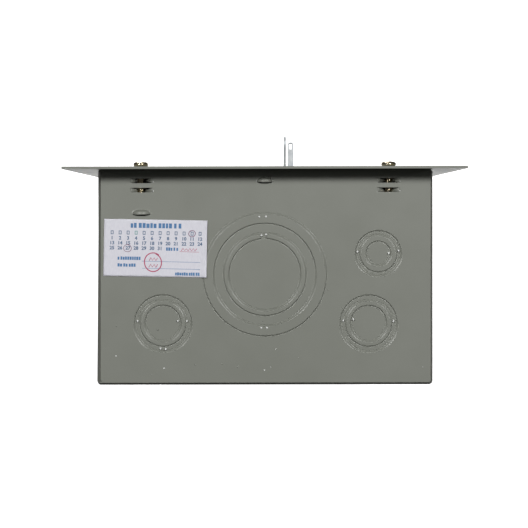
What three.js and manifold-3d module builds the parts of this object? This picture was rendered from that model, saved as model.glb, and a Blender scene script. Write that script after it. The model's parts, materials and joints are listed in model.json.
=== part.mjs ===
// Residential load center: a flush steel enclosure with a flat trim and a hinged door, a two-pole
// main breaker worked by an outside lever, and plug-on branch breakers on a two-phase bus.
// Millimetres. +Z is up the wall and -Y comes out of the front, so +X is right when facing it.
// The origin is the middle of the back face, where the enclosure meets the wall.
// "Depth" below is the distance in front of that back face, so depth d lies at Y = -d.
import * as THREE from "three";
import { mergeVertices } from "three/addons/utils/BufferGeometryUtils.js";
import Module from "manifold-3d";

const wasm = await Module();
wasm.setup();

// ---- Driving dimensions ----

const GAP = 0.3; // clearance between pieces that are fastened together
const THROUGH = 1; // how far a cutting tool reaches past the surface it opens
const SHEET = 1.5; // enclosure, trim and door steel
const THIN_SHEET = 1.2; // dead front and latch keeper steel

const BOX = { width: 206.4, height: 356, depth: 132.1, bend: 3 };
const HALF_WIDTH = BOX.width / 2;
const HALF_HEIGHT = BOX.height / 2;

const TRIM = { width: 245.4, height: 396, back: BOX.depth + GAP };
TRIM.front = TRIM.back + SHEET;

const FLANGE = 15; // height of the end wall flanges, which carry on the line of the wrapper

// Concentric knockouts in an end wall, with the diameters of the trade sizes they open to.
const STEP = 0.4; // how far a knockout ring is pressed out or in
const KNOCKOUTS = [
  { x: 0, depth: 68, diameters: [75.4, 62.7, 50.4, 44], press: STEP, sides: 36 },
  { x: 62.6, depth: 38.1, diameters: [34.9, 28.2, 22.2], press: -STEP, sides: 22 },
  { x: -63.6, depth: 37.8, diameters: [34.9, 28.2, 22.2], press: -STEP, sides: 22 },
  { x: -69.6, depth: 80.8, diameters: [27.8, 22.8, 15], press: -STEP, sides: 20 },
];
const SIDE_KNOCKOUTS = { depth: 42, z: [-128, 128], diameters: [28.2, 22.2], sides: 20 };

const MOUNTING_HOLE = { x: 62, z: 146, radius: 3.2 };

// Trim screws run just behind the end wall and show through two slots in it.
const SCREW = { x: 76.1, shank: 2.4, head: 4.6, headHeight: 3.5, tip: 109.5 };
SCREW.z = HALF_HEIGHT - SHEET - GAP - SCREW.shank;
const SLOT = { half: 6.4, depths: [[118.4, 121.1], [124.1, 126.9]] };
const DIMPLES = [
  { x: 0, depth: 125, length: 9, width: 3.8 },
  { x: 75.6, depth: 105.3, length: 10.9, width: 4.3 },
];
const DIMPLE_HEIGHT = 1.1;

const LABEL = { x: 67.1, depth: 84.2, width: 63.3, height: 35, thick: 0.2, turn: -1.1 };

// Door opening in the trim, and the door that closes it.
const OPENING = { half: 70, low: -102, high: 34 };
const DOOR_GAP = 0.8;
const DOOR_FLANGE = 8;
const HINGE = { x: -70, depth: TRIM.front + 0.3, barrel: 2.2, bore: 1.35, pin: 1.1, notch: 2.8 };
const HINGE_HEIGHTS = { lower: -80, upper: 12 };
const KNUCKLE = { door: 12, trim: 8, space: 0.5 };

const LATCH = { z: -34, x: 50, travel: 6, width: 11, height: 18, plateHalf: 14 };

const DEAD_FRONT = { half: 78, low: -110, high: 42, back: 109.8, flange: 6 };

// Branch breakers: two columns of spaces on either side of the middle.
const PITCH = 25.4;
const TOP_SPACE = 4.1; // middle of the uppermost space
const SPACES = 4;
const CASE = { thick: 24.6, inner: 4, outer: 80, back: 62, face: 113, shoulder: 98 };
CASE.hook = { inner: 68, outer: 71.5 }; // the recess that clips over a rail of the pan
CASE.nose = { inner: [8, 10], outer: [56, 58.5] }; // slopes on either side of the raised face
CASE.handleRoom = { half: 9, back: 95, high: 5 };
CASE.stabRoom = { past: 3, half: 2.5 };
CASE.wire = { x: 70, screw: 3.2, screwDeep: 4, depth: 78, hole: 1.9 };
const TIE = { half: 2.2, low: 6, high: 1.5 }; // bar between the handles of a two-pole breaker
const HANDLE = { x: 34, depth: 103, drum: 7, reach: 19, thick: 6, width: 8.4, tilt: 18 };
const SINGLE_BREAKERS = [0, 1, 2]; // rows, counted down from the top, in the left column
const DOUBLE_BREAKER_ROW = 0; // upper row of the two-pole breaker in the right column

// Main breaker and its outside lever.
const MAIN = { half: 38, low: 42, high: 128, back: 50, front: 113 };
MAIN.raised = { half: 24, inset: 16, rise: 5 };
MAIN.pocket = { half: 15, high: 15.5, back: 83.5 };
MAIN.seam = { half: 0.5, deep: 6, long: 15 };
const MAIN_PIVOT = { depth: 96, z: 85 };
const TOGGLE = { half: 11.9, drum: 12, reach: 31, thick: 12, tilt: 20 };
const LEVER = { x: -13, thick: 1.5, width: 14, foot: 8, reach: 64.6, hole: 4, holeAt: 50 };
const STAPLE = { left: -19.05, right: -15.3, wall: 0.9, top: 152.4, long: 14, eye: 3.6, foot: 14 };

// Interior: pan, insulating base and bus.
const PAN = { half: 73.5, low: -110, high: 132, depth: 20, rail: 54, lip: 7.5 };
const PAN_FOOT = { x: 58, z: [-98, 120], radius: 7, hole: 2.6 };
const PAN_SCREW = { shank: 2.2, head: 4, headHeight: 2.4, sides: 10 };
const BASE = { half: 40, low: -92, high: 128, bays: 4, rib: 2, wall: 3, hollowTo: 44 };
const BUS = { inner: 10, outer: 24, back: 58.3, thick: 3, low: -88, high: 41.7 };
const STAB = { half: 8, front: 73, thick: 3, foot: 6 };

const SET_SCREW = { radius: 4.2, hole: 4.6, hexagon: 2.4, proud: 2, socket: 2 };
const LUG = { x: 22, half: 10, low: 128.3, high: 148, back: 58, front: 84, bore: 6, boreDepth: 67 };
const NEUTRAL = { x: -88, half: 5, low: -90, high: 30, back: 30, front: 42 };
const GROUND = { x: 89, half: 5, low: -80, high: 20, back: BOX.bend, front: 14 };
const NEUTRAL_LUG = { x: -88, half: 9, low: 30.3, high: 52, back: 28, front: 50 };
NEUTRAL_LUG.bore = 5.5;
NEUTRAL_LUG.boreDepth = 36.5;
const TERMINAL = { offset: 1.5, wire: 1.9, thread: 2.2 }; // holes in the neutral and ground bars
const TERMINAL_SCREW = { shank: 1.9, head: 3.4, headHeight: 2, sides: 8 };
const NEUTRAL_SCREWS = 5;
const GROUND_SCREWS = 4;
const SUPPORT = { half: 7, high: 8, wall: 2, hollowTo: 20, z: { lower: -70, upper: 12 } };
const STRAP = { thick: 1, overlap: 3, foot: 6, z: [-45, -33] };

const DIRECTORY = { x: -20, width: 60, height: 90, thick: 0.4 };

// ---- Materials ----

function finish(color, roughness, metalness) {
  return new THREE.MeshStandardMaterial({ color, roughness, metalness });
}

const PAINT = finish(0x83857f, 0.38, 0.1);
const ZINC = finish(0xc3c7cc, 0.35, 0.9);
const YELLOW_ZINC = finish(0xa88a4e, 0.35, 0.9);
const ALUMINIUM = finish(0xbfc3c6, 0.4, 0.9);
const BLACK_PLASTIC = finish(0x232427, 0.5, 0);
const GREY_PLASTIC = finish(0x4a4c4f, 0.55, 0);
const BASE_PLASTIC = finish(0x3a2d27, 0.6, 0);
const PAPER = finish(0xe9e9f2, 0.6, 0);

// ---- Shapes ----

// A closed three.js geometry as a solid that can be joined and cut.
function solid(geometry) {
  const bare = geometry.clone();
  bare.deleteAttribute("normal");
  bare.deleteAttribute("uv");
  const merged = mergeVertices(bare, 1e-4);
  return new wasm.Manifold(
    new wasm.Mesh({
      numProp: 3,
      vertProperties: merged.attributes.position.array,
      triVerts: new Uint32Array(merged.index.array),
    }),
  );
}

function join(...shapes) {
  return shapes.reduce((sum, shape) => sum.add(shape));
}

function cut(shape, ...tools) {
  return tools.reduce((left, tool) => left.subtract(tool), shape);
}

function middle([low, high]) {
  return (low + high) / 2;
}

function length([low, high]) {
  return Math.abs(high - low);
}

// A block from its ranges in X, in depth and in Z.
function block(x, depth, z) {
  const box = new THREE.BoxGeometry(length(x), length(depth), length(z));
  return solid(box.translate(middle(x), -middle(depth), middle(z)));
}

// A round rod pointing out of the front.
function rodForward(x, z, radius, depth, sides = 20) {
  const rod = new THREE.CylinderGeometry(radius, radius, length(depth), sides);
  return solid(rod.translate(x, -middle(depth), z));
}

// A round rod standing up the wall.
function rodUp(x, depth, radius, z, sides = 20) {
  const rod = new THREE.CylinderGeometry(radius, radius, length(z), sides);
  return solid(rod.rotateX(Math.PI / 2).translate(x, -depth, middle(z)));
}

// A round rod lying across the box.
function rodAcross(depth, z, radius, x, sides = 20) {
  const rod = new THREE.CylinderGeometry(radius, radius, length(x), sides);
  return solid(rod.rotateZ(Math.PI / 2).translate(middle(x), -depth, z));
}

// An outline of [x, depth] corners, drawn out along Z.
function profileUp(corners, z) {
  const outline = new THREE.Shape(corners.map(([x, depth]) => new THREE.Vector2(x, -depth)));
  const drawn = new THREE.ExtrudeGeometry(outline, { depth: length(z), bevelEnabled: false });
  return solid(drawn.translate(0, 0, z[0]));
}

// A screw along Y with a domed, slotted head whose underside is at depth `under`.
function screw({ x, z, shank, head, headHeight, under, tip, sides = 16 }) {
  const point = shank * 0.6;
  const profile = [
    [0, under + headHeight],
    [head * 0.45, under + headHeight * 0.95],
    [head * 0.85, under + headHeight * 0.62],
    [head, under + headHeight * 0.2],
    [head, under],
    [shank, under],
    [shank, tip + point],
    [0, tip],
  ];
  const points = profile.map(([radius, depth]) => new THREE.Vector2(radius, -depth));
  const turned = solid(new THREE.LatheGeometry(points, sides).translate(x, 0, z));
  const top = under + headHeight;
  return cut(turned, block([x - head, x + head], [top - headHeight * 0.4, top + 1], [z - 0.6, z + 0.6]));
}

const loadCenter = new THREE.Group();
loadCenter.name = "load_center";

function addGeometry(name, geometry, material) {
  const mesh = new THREE.Mesh(geometry, material);
  mesh.name = name;
  loadCenter.add(mesh);
  return mesh;
}

function addPart(name, shape, material) {
  const { vertProperties, triVerts } = shape.getMesh();
  const geometry = new THREE.BufferGeometry();
  geometry.setAttribute("position", new THREE.BufferAttribute(vertProperties, 3));
  geometry.setIndex(new THREE.BufferAttribute(triVerts, 1));
  geometry.computeVertexNormals();
  return addGeometry(name, geometry, material);
}

// ---- Enclosure ----

// Concentric knockout rings pressed alternately out of, or into, a face whose normal is +Z.
function pressKnockout(wall, { x, depth, diameters, press, sides }, face) {
  let pressed = wall;
  for (let ring = 0; ring < diameters.length; ring += 2) {
    const z = press > 0 ? [face - SHEET / 2, face + press] : [face + press, face + 1];
    let tool = rodUp(x, depth, diameters[ring] / 2, z, sides);
    if (ring + 1 < diameters.length) {
      tool = cut(tool, rodUp(x, depth, diameters[ring + 1] / 2, [face - 5, face + 5], sides));
    }
    pressed = press > 0 ? join(pressed, tool) : cut(pressed, tool);
  }
  return pressed;
}

// A rounded box back in plan, open or closed at the front.
function planOutline(hollow) {
  const inner = BOX.bend - SHEET;
  const side = HALF_WIDTH - SHEET;
  const centre = HALF_WIDTH - BOX.bend;
  const outline = new THREE.Shape();
  outline.moveTo(-HALF_WIDTH, -BOX.depth);
  outline.lineTo(-HALF_WIDTH, -BOX.bend);
  outline.absarc(-centre, -BOX.bend, BOX.bend, Math.PI, Math.PI / 2, true);
  outline.lineTo(centre, 0);
  outline.absarc(centre, -BOX.bend, BOX.bend, Math.PI / 2, 0, true);
  outline.lineTo(HALF_WIDTH, -BOX.depth);
  if (hollow) {
    outline.lineTo(side, -BOX.depth);
    outline.lineTo(side, -BOX.bend);
    outline.absarc(centre, -BOX.bend, inner, 0, Math.PI / 2, false);
    outline.lineTo(-centre, -SHEET);
    outline.absarc(-centre, -BOX.bend, inner, Math.PI / 2, Math.PI, false);
    outline.lineTo(-side, -BOX.depth);
  }
  return outline;
}

function drawUp(outline, z) {
  const options = { depth: length(z), bevelEnabled: false, curveSegments: 6 };
  return solid(new THREE.ExtrudeGeometry(outline, options).translate(0, 0, z[0]));
}

// One U of sheet, bent round the back into both sides. It stops where the end wall flanges start.
function enclosureWrapper() {
  const end = HALF_HEIGHT - FLANGE - GAP;
  let wrapper = drawUp(planOutline(true), [-end, end]);
  for (const x of [-MOUNTING_HOLE.x, MOUNTING_HOLE.x]) {
    for (const z of [-MOUNTING_HOLE.z, MOUNTING_HOLE.z]) {
      wrapper = cut(wrapper, rodForward(x, z, MOUNTING_HOLE.radius, [-1, SHEET + 1]));
    }
  }
  const { depth, z: heights, diameters, sides } = SIDE_KNOCKOUTS;
  const [ringOuter, ringInner] = diameters.map((diameter) => diameter / 2);
  for (const z of heights) {
    for (const side of [-1, 1]) {
      const skin = [side * (HALF_WIDTH - STEP), side * (HALF_WIDTH + 1)].sort((a, b) => a - b);
      const clear = [side * (HALF_WIDTH - 2 * SHEET), side * (HALF_WIDTH + 2)].sort((a, b) => a - b);
      const ring = cut(
        rodAcross(depth, z, ringOuter, skin, sides),
        rodAcross(depth, z, ringInner, clear, sides),
      );
      wrapper = cut(wrapper, ring);
    }
  }
  return wrapper;
}

// A half dome raised on the outer face.
function dimple({ x, depth, length: long, width }) {
  const dome = new THREE.SphereGeometry(1, 12, 6);
  dome.scale(long / 2, width / 2, DIMPLE_HEIGHT);
  return solid(dome.translate(x, -depth, HALF_HEIGHT - GAP));
}

// The strips pushed in behind the slots, which hold the thread of a trim screw from behind.
function screwChannel(x) {
  const under = SCREW.z - SCREW.shank - GAP;
  const inside = HALF_HEIGHT - SHEET;
  const strips = SLOT.depths.flatMap((depth) => [
    block([x - SLOT.half - SHEET, x - SLOT.half], depth, [under - SHEET, inside + 0.5]),
    block([x + SLOT.half, x + SLOT.half + SHEET], depth, [under - SHEET, inside + 0.5]),
    block([x - SLOT.half - SHEET, x + SLOT.half + SHEET], depth, [under - SHEET, under]),
  ]);
  return join(...strips);
}

// A folded end wall, drawn as the upper one. The same pressing turned over closes the lower end.
function endWall() {
  const inside = HALF_HEIGHT - SHEET;
  let wall = join(
    drawUp(planOutline(true), [HALF_HEIGHT - FLANGE, inside + 0.5]),
    drawUp(planOutline(false), [inside, HALF_HEIGHT]),
  );
  for (const hole of KNOCKOUTS) wall = pressKnockout(wall, hole, HALF_HEIGHT);
  for (const bump of DIMPLES) wall = join(wall, dimple(bump));
  for (const x of [-SCREW.x, SCREW.x]) {
    wall = join(wall, screwChannel(x));
    for (const depth of SLOT.depths) {
      wall = cut(wall, block([x - SLOT.half, x + SLOT.half], depth, [inside - 0.5, HALF_HEIGHT + 1]));
    }
  }
  return wall;
}

// ---- Trim, dead front and door ----

// Where the knuckles of one hinge sit up the wall.
function knuckleRanges(z) {
  const half = KNUCKLE.door / 2;
  const start = half + KNUCKLE.space;
  return {
    door: [z - half, z + half],
    trim: [
      [z - start - KNUCKLE.trim, z - start],
      [z + start, z + start + KNUCKLE.trim],
    ],
  };
}

// A range widened at both ends.
function widen([low, high], by) {
  return [low - by, high + by];
}

function trimCover() {
  const sheet = [TRIM.back, TRIM.front];
  let trim = cut(
    block([-TRIM.width / 2, TRIM.width / 2], sheet, [-TRIM.height / 2, TRIM.height / 2]),
    block([-OPENING.half, OPENING.half], widen(sheet, 1), [OPENING.low, OPENING.high]),
    leverSlot(),
  );
  for (const x of [-SCREW.x, SCREW.x]) {
    for (const z of [-SCREW.z, SCREW.z]) {
      trim = cut(trim, rodForward(x, z, SCREW.shank + 0.35, widen(sheet, 1)));
    }
  }
  for (const z of staple.rivets) trim = cut(trim, rodForward(staple.rivetX, z, 2.1, widen(sheet, 1)));
  for (const z of Object.values(HINGE_HEIGHTS)) {
    const ranges = knuckleRanges(z);
    const room = [HINGE.x - HINGE.notch, HINGE.x + 1];
    trim = cut(trim, block(room, widen(sheet, 1), widen(ranges.door, KNUCKLE.space / 2)));
    for (const range of ranges.trim) {
      const barrel = rodUp(HINGE.x, HINGE.depth, HINGE.barrel, range, 12);
      trim = join(trim, barrel);
      trim = cut(trim, rodUp(HINGE.x, HINGE.depth, HINGE.bore, widen(range, 1), 12));
    }
  }
  return trim;
}

// The slot in the trim through which the main lever swings.
function leverSlot() {
  const swing = THREE.MathUtils.degToRad(TOGGLE.tilt);
  const travel = (TRIM.front - MAIN_PIVOT.depth) * Math.tan(swing);
  const half = travel + LEVER.width / 2 / Math.cos(swing) + 2;
  return block(
    [STAPLE.right + GAP, LEVER.x + 2.2],
    [TRIM.back - 1, TRIM.front + 1],
    [MAIN_PIVOT.z - half, MAIN_PIVOT.z + half],
  );
}

// A shallow pan behind the door opening. Its face has windows for the breakers that are fitted.
function deadFront() {
  const face = DEAD_FRONT.back + THIN_SHEET;
  const across = [-DEAD_FRONT.half, DEAD_FRONT.half];
  const up = [DEAD_FRONT.low, DEAD_FRONT.high];
  const rim = block(
    widen(across, DEAD_FRONT.flange),
    [BOX.depth - THIN_SHEET, BOX.depth],
    widen(up, DEAD_FRONT.flange),
  );
  const pan = block(across, [DEAD_FRONT.back, BOX.depth], up);
  const hollow = block(widen(across, -THIN_SHEET), [face, BOX.depth + 1], widen(up, -THIN_SHEET));
  const window = { inner: 8.5, outer: 57 };
  const through = [DEAD_FRONT.back - 1, face + 1];
  const rowEdge = (row) => TOP_SPACE + PITCH / 2 - row * PITCH;
  return cut(
    join(rim, pan),
    hollow,
    block([-window.outer, -window.inner], through, [rowEdge(SINGLE_BREAKERS.length), rowEdge(0)]),
    block([window.inner, window.outer], through, [rowEdge(DOUBLE_BREAKER_ROW + 2), rowEdge(0)]),
    ...twistOuts(face, window, rowEdge),
  );
}

// Outlines of the twist-outs that still close the spaces with no breaker.
function twistOuts(face, window, rowEdge) {
  const groove = 0.8;
  const depth = [face - THIN_SHEET / 2, face + 1];
  const closed = [
    { side: -1, rows: [SINGLE_BREAKERS.length, SPACES] },
    { side: 1, rows: [DOUBLE_BREAKER_ROW + 2, SPACES] },
  ];
  const grooves = [];
  for (const { side, rows } of closed) {
    for (let row = rows[0]; row < rows[1]; row += 1) {
      const z = [rowEdge(row + 1) + 1, rowEdge(row) - 1];
      const x = [side * window.inner, side * window.outer].sort((a, b) => a - b);
      const ring = cut(block(x, depth, z), block(widen(x, -groove), widen(depth, 1), widen(z, -groove)));
      grooves.push(ring);
    }
  }
  return grooves;
}

const DOOR_ACROSS = [-OPENING.half + DOOR_GAP, OPENING.half - DOOR_GAP];
const DOOR_UP = [OPENING.low + DOOR_GAP, OPENING.high - DOOR_GAP];

function door() {
  const sheet = [TRIM.back, TRIM.front];
  const flangeDepth = [TRIM.back - DOOR_FLANGE, TRIM.back + 0.5];
  const inset = 2;
  const frame = cut(
    block(widen(DOOR_ACROSS, -inset), flangeDepth, widen(DOOR_UP, -inset)),
    block(widen(DOOR_ACROSS, -inset - SHEET), widen(flangeDepth, 1), widen(DOOR_UP, -inset - SHEET)),
    block([LATCH.x, OPENING.half], [0, TRIM.back], widen([LATCH.z, LATCH.z], LATCH.plateHalf + 3)),
  );
  const windowX = [LATCH.x - LATCH.width / 2 - 1, LATCH.x + LATCH.width / 2 + LATCH.travel + 1];
  const windowZ = widen([LATCH.z, LATCH.z], LATCH.height / 2 + 0.5);
  let panel = cut(
    join(block(DOOR_ACROSS, sheet, DOOR_UP), frame),
    block(windowX, widen(sheet, 1), windowZ),
  );
  for (const z of Object.values(HINGE_HEIGHTS)) {
    const ranges = knuckleRanges(z);
    const room = [HINGE.x - 1, HINGE.x + HINGE.notch];
    for (const range of ranges.trim) {
      panel = cut(panel, block(room, widen(sheet, 1), widen(range, KNUCKLE.space)));
    }
    panel = join(panel, rodUp(HINGE.x, HINGE.depth, HINGE.barrel, ranges.door, 12));
    panel = cut(panel, rodUp(HINGE.x, HINGE.depth, HINGE.bore, widen(ranges.door, 1), 12));
  }
  return panel;
}

function hingePin(z) {
  const reach = KNUCKLE.door / 2 + KNUCKLE.space + KNUCKLE.trim + KNUCKLE.space / 2;
  return rodUp(HINGE.x, HINGE.depth, HINGE.pin, [z - reach, z + reach], 12);
}

// The slider: a finger piece in the door's window, on a plate behind it that carries the tongue.
function latchSlider() {
  const half = LATCH.width / 2;
  const plate = [TRIM.back - 3, TRIM.back - 0.4];
  const finger = block(
    [LATCH.x - half, LATCH.x + half],
    [TRIM.back - 1, TRIM.front - 0.2],
    widen([LATCH.z, LATCH.z], LATCH.height / 2),
  );
  const grip = [-3, 0, 3].map((at) =>
    block([LATCH.x + at - 0.6, LATCH.x + at + 0.6], [TRIM.front - 0.9, TRIM.front + 1], [
      LATCH.z - LATCH.height / 2 + 2,
      LATCH.z + LATCH.height / 2 - 2,
    ]),
  );
  return join(
    cut(finger, ...grip),
    block([LATCH.x - 12, LATCH.x + 12], plate, widen([LATCH.z, LATCH.z], LATCH.plateHalf)),
    block([LATCH.x + 11, LATCH.x + 16.6], plate, widen([LATCH.z, LATCH.z], 6)),
  );
}

// A strap on the back of the door that the slider's plate runs in.
function latchKeeper() {
  const x = [LATCH.x - 6, LATCH.x + 6];
  const back = TRIM.back - 3 - 0.4 - THIN_SHEET;
  const leg = LATCH.plateHalf + 0.8;
  const foot = leg + 6;
  const door = TRIM.back - GAP;
  return join(
    block(x, [back, back + THIN_SHEET], [LATCH.z - leg - THIN_SHEET, LATCH.z + leg + THIN_SHEET]),
    ...[-1, 1].flatMap((side) => {
      const legZ = [LATCH.z + side * leg, LATCH.z + side * (leg + THIN_SHEET)].sort((a, b) => a - b);
      const footZ = [LATCH.z + side * leg, LATCH.z + side * foot].sort((a, b) => a - b);
      return [block(x, [back, door], legZ), block(x, [door - THIN_SHEET, door], footZ)];
    }),
  );
}

// ---- Main breaker, lever and padlock staple ----

function mainBreakerCase() {
  const { raised, pocket, seam } = MAIN;
  const up = [MAIN.low, MAIN.high];
  const body = block([-MAIN.half, MAIN.half], [MAIN.back, MAIN.front - raised.rise], up);
  const step = block([-raised.half, raised.half], [MAIN.back, MAIN.front], widen(up, -raised.inset));
  const room = block(
    [-pocket.half, pocket.half],
    [pocket.back, MAIN.front + THROUGH],
    widen([MAIN_PIVOT.z, MAIN_PIVOT.z], pocket.high),
  );
  const groove = block(
    [-seam.half, seam.half],
    [MAIN.front - seam.deep, MAIN.front + THROUGH],
    [MAIN.low - THROUGH, MAIN.low + seam.long],
  );
  return cut(join(body, step), room, groove);
}

// Drawn about its own pivot, pointing straight out, and then tilted to ON.
function mainToggle() {
  const drum = rodAcross(0, 0, TOGGLE.drum, [-TOGGLE.half, TOGGLE.half], 24);
  const grip = block([-TOGGLE.half, TOGGLE.half], [0, TOGGLE.reach], [-TOGGLE.thick / 2, TOGGLE.thick / 2]);
  return join(drum, grip);
}

// A steel plate on the side of the toggle, with a round end and a padlock hole.
function mainLever() {
  const half = LEVER.width / 2;
  const tip = LEVER.reach - half;
  const outline = new THREE.Shape();
  outline.moveTo(-half, LEVER.foot);
  outline.lineTo(half, LEVER.foot);
  outline.absarc(0, tip, half, 0, Math.PI, false);
  const hole = new THREE.Path();
  hole.absarc(0, LEVER.holeAt, LEVER.hole, 0, Math.PI * 2, true);
  outline.holes.push(hole);
  const plate = new THREE.ExtrudeGeometry(outline, {
    depth: LEVER.thick,
    bevelEnabled: false,
    curveSegments: 12,
  });
  const turn = new THREE.Matrix4().makeBasis(
    new THREE.Vector3(0, 0, 1),
    new THREE.Vector3(0, -1, 0),
    new THREE.Vector3(1, 0, 0),
  );
  return solid(plate.applyMatrix4(turn).translate(LEVER.x - LEVER.thick / 2, 0, 0));
}

// Where the padlock hole of the lever stands when the lever is at OFF.
function padlockPoint() {
  const swing = THREE.MathUtils.degToRad(TOGGLE.tilt);
  return {
    depth: MAIN_PIVOT.depth + LEVER.holeAt * Math.cos(swing),
    z: MAIN_PIVOT.z - LEVER.holeAt * Math.sin(swing),
  };
}

const padlock = padlockPoint();
const staple = {
  up: [padlock.z - STAPLE.long / 2, padlock.z + STAPLE.long / 2],
  rivetX: STAPLE.left - STAPLE.foot / 2 - 1,
  rivets: [padlock.z - 4, padlock.z + 4],
};

// A strip folded into a narrow hairpin, closed below its eye, on a foot riveted to the trim.
function padlockStaple() {
  const base = TRIM.front + 0.1;
  const hairpin = profileUp(
    [
      [STAPLE.left, base],
      [STAPLE.right, base],
      [STAPLE.right, STAPLE.top - 1],
      [STAPLE.right - 0.8, STAPLE.top],
      [STAPLE.left + 0.8, STAPLE.top],
      [STAPLE.left, STAPLE.top - 1],
    ],
    staple.up,
  );
  const eye = [STAPLE.top - STAPLE.wall - STAPLE.eye, STAPLE.top - STAPLE.wall];
  const foot = block([STAPLE.left - STAPLE.foot, STAPLE.left + 1], [base, base + THIN_SHEET], staple.up);
  let shape = cut(
    join(hairpin, foot),
    block([STAPLE.left + STAPLE.wall, STAPLE.right - STAPLE.wall], eye, widen(staple.up, 1)),
    rodAcross(padlock.depth, padlock.z, LEVER.hole, [STAPLE.left - 1, STAPLE.right + 1], 24),
  );
  for (const z of staple.rivets) {
    shape = cut(shape, rodForward(staple.rivetX, z, 2.1, [base - 1, base + THIN_SHEET + 1]));
  }
  return shape;
}

function stapleRivet(z) {
  const top = TRIM.front + 0.1 + THIN_SHEET + 0.1;
  return join(
    rodForward(staple.rivetX, z, 1.8, [TRIM.back - 1.4, top + 0.2], 12),
    rodForward(staple.rivetX, z, 3, [top, top + 0.9], 12),
    rodForward(staple.rivetX, z, 2.8, [TRIM.back - 1.4, TRIM.back - 0.1], 12),
  );
}

// A screw lug: wire enters along Z, and a set screw from the front holds it.
function wireLug({ x, half, low, high, back, front, bore, boreDepth }) {
  const z = middle([low, high]);
  return cut(
    block([x - half, x + half], [back, front], [low, high]),
    rodUp(x, boreDepth, bore, [low - 1, high + 1], 20),
    rodForward(x, z, SET_SCREW.hole, [boreDepth, front + THROUGH], 16),
  );
}

function lugScrew({ x, low, high, front, bore, boreDepth }) {
  const z = middle([low, high]);
  const top = front + SET_SCREW.proud;
  const body = rodForward(x, z, SET_SCREW.radius, [boreDepth + bore - 1, top], 16);
  return cut(body, rodForward(x, z, SET_SCREW.hexagon, [front - SET_SCREW.socket, top + THROUGH], 6));
}

// ---- Branch breakers ----

function spaceHeight(row) {
  return TOP_SPACE - row * PITCH;
}

// A breaker case for one or more neighbouring rows. side is -1 for the left column, 1 for the right.
function branchCase(side, rows) {
  const half = CASE.thick / 2;
  const top = spaceHeight(rows[0]) + half;
  const bottom = spaceHeight(rows[rows.length - 1]) - half;
  const { hook, nose, handleRoom, stabRoom, wire } = CASE;
  const corners = [
    [CASE.inner, CASE.back],
    [hook.inner, CASE.back],
    [hook.inner, PAN.rail + GAP],
    [hook.outer, PAN.rail + GAP],
    [hook.outer, CASE.back],
    [CASE.outer, CASE.back],
    [CASE.outer, CASE.shoulder],
    [nose.outer[1], CASE.shoulder],
    [nose.outer[0], CASE.face],
    [nose.inner[1], CASE.face],
    [nose.inner[0], CASE.shoulder],
    [CASE.inner, CASE.shoulder],
  ];
  let shape = profileUp(
    corners.map(([x, depth]) => [side * x, depth]),
    [bottom, top],
  );
  const span = (low, high) => [side * low, side * high].sort((a, b) => a - b);
  for (const row of rows) {
    const z = spaceHeight(row);
    const screwHole = [CASE.shoulder - wire.screwDeep, CASE.shoulder + THROUGH];
    shape = cut(
      shape,
      block(
        span(HANDLE.x - handleRoom.half, HANDLE.x + handleRoom.half),
        [handleRoom.back, CASE.face + THROUGH],
        widen([z, z], handleRoom.high),
      ),
      block(
        span(0, STAB.half + stabRoom.past),
        [CASE.back - THROUGH, STAB.front + stabRoom.past],
        widen([z, z], stabRoom.half),
      ),
      rodForward(side * wire.x, z, wire.screw, screwHole, 12),
      rodAcross(wire.depth, z, wire.hole, span(hook.inner, CASE.outer + THROUGH), 10),
    );
  }
  return shape;
}

// Drawn about its own pivot. The handle of a two-pole breaker is two handles with a tie between them.
function branchHandle(poles) {
  const pieces = [];
  for (let pole = 0; pole < poles; pole += 1) {
    const z = -pole * PITCH;
    const width = widen([z, z], HANDLE.width / 2);
    pieces.push(rodUp(0, 0, HANDLE.drum, width, 20));
    pieces.push(block([-HANDLE.thick / 2, HANDLE.thick / 2], [0, HANDLE.reach], width));
  }
  if (poles > 1) {
    const tie = [-(poles - 1) * PITCH, 0];
    pieces.push(block([-TIE.half, TIE.half], [HANDLE.reach - TIE.low, HANDLE.reach - TIE.high], tie));
  }
  return join(...pieces);
}

function addBranchBreaker(name, side, rows) {
  addPart(`breaker_case_${name}`, branchCase(side, rows), BLACK_PLASTIC);
  const handle = addPart(`breaker_handle_${name}`, branchHandle(rows.length), GREY_PLASTIC);
  handle.position.set(side * HANDLE.x, -HANDLE.depth, spaceHeight(rows[0]));
  handle.rotation.z = THREE.MathUtils.degToRad(-side * HANDLE.tilt);
}

// ---- Interior ----

// A channel open to the front. Its edges turn in as the rails that the breakers hook onto.
function interiorPan() {
  const edge = PAN.half - SHEET;
  const up = [PAN.low, PAN.high];
  const railUp = [BASE.low, MAIN.low - 6];
  let pan = join(
    block([-PAN.half, PAN.half], [PAN.depth, PAN.depth + SHEET], up),
    ...[-1, 1].flatMap((side) => {
      const wall = [side * edge, side * PAN.half].sort((a, b) => a - b);
      const lip = [side * (PAN.half - PAN.lip), side * PAN.half].sort((a, b) => a - b);
      return [block(wall, [PAN.depth, PAN.rail], railUp), block(lip, [PAN.rail - SHEET, PAN.rail], railUp)];
    }),
  );
  for (const x of [-PAN_FOOT.x, PAN_FOOT.x]) {
    for (const z of PAN_FOOT.z) {
      pan = join(pan, rodForward(x, z, PAN_FOOT.radius, [SHEET + GAP, PAN.depth + 0.5], 12));
      pan = cut(pan, rodForward(x, z, PAN_FOOT.hole, [0, PAN.depth + 5], 10));
    }
  }
  return pan;
}

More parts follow.
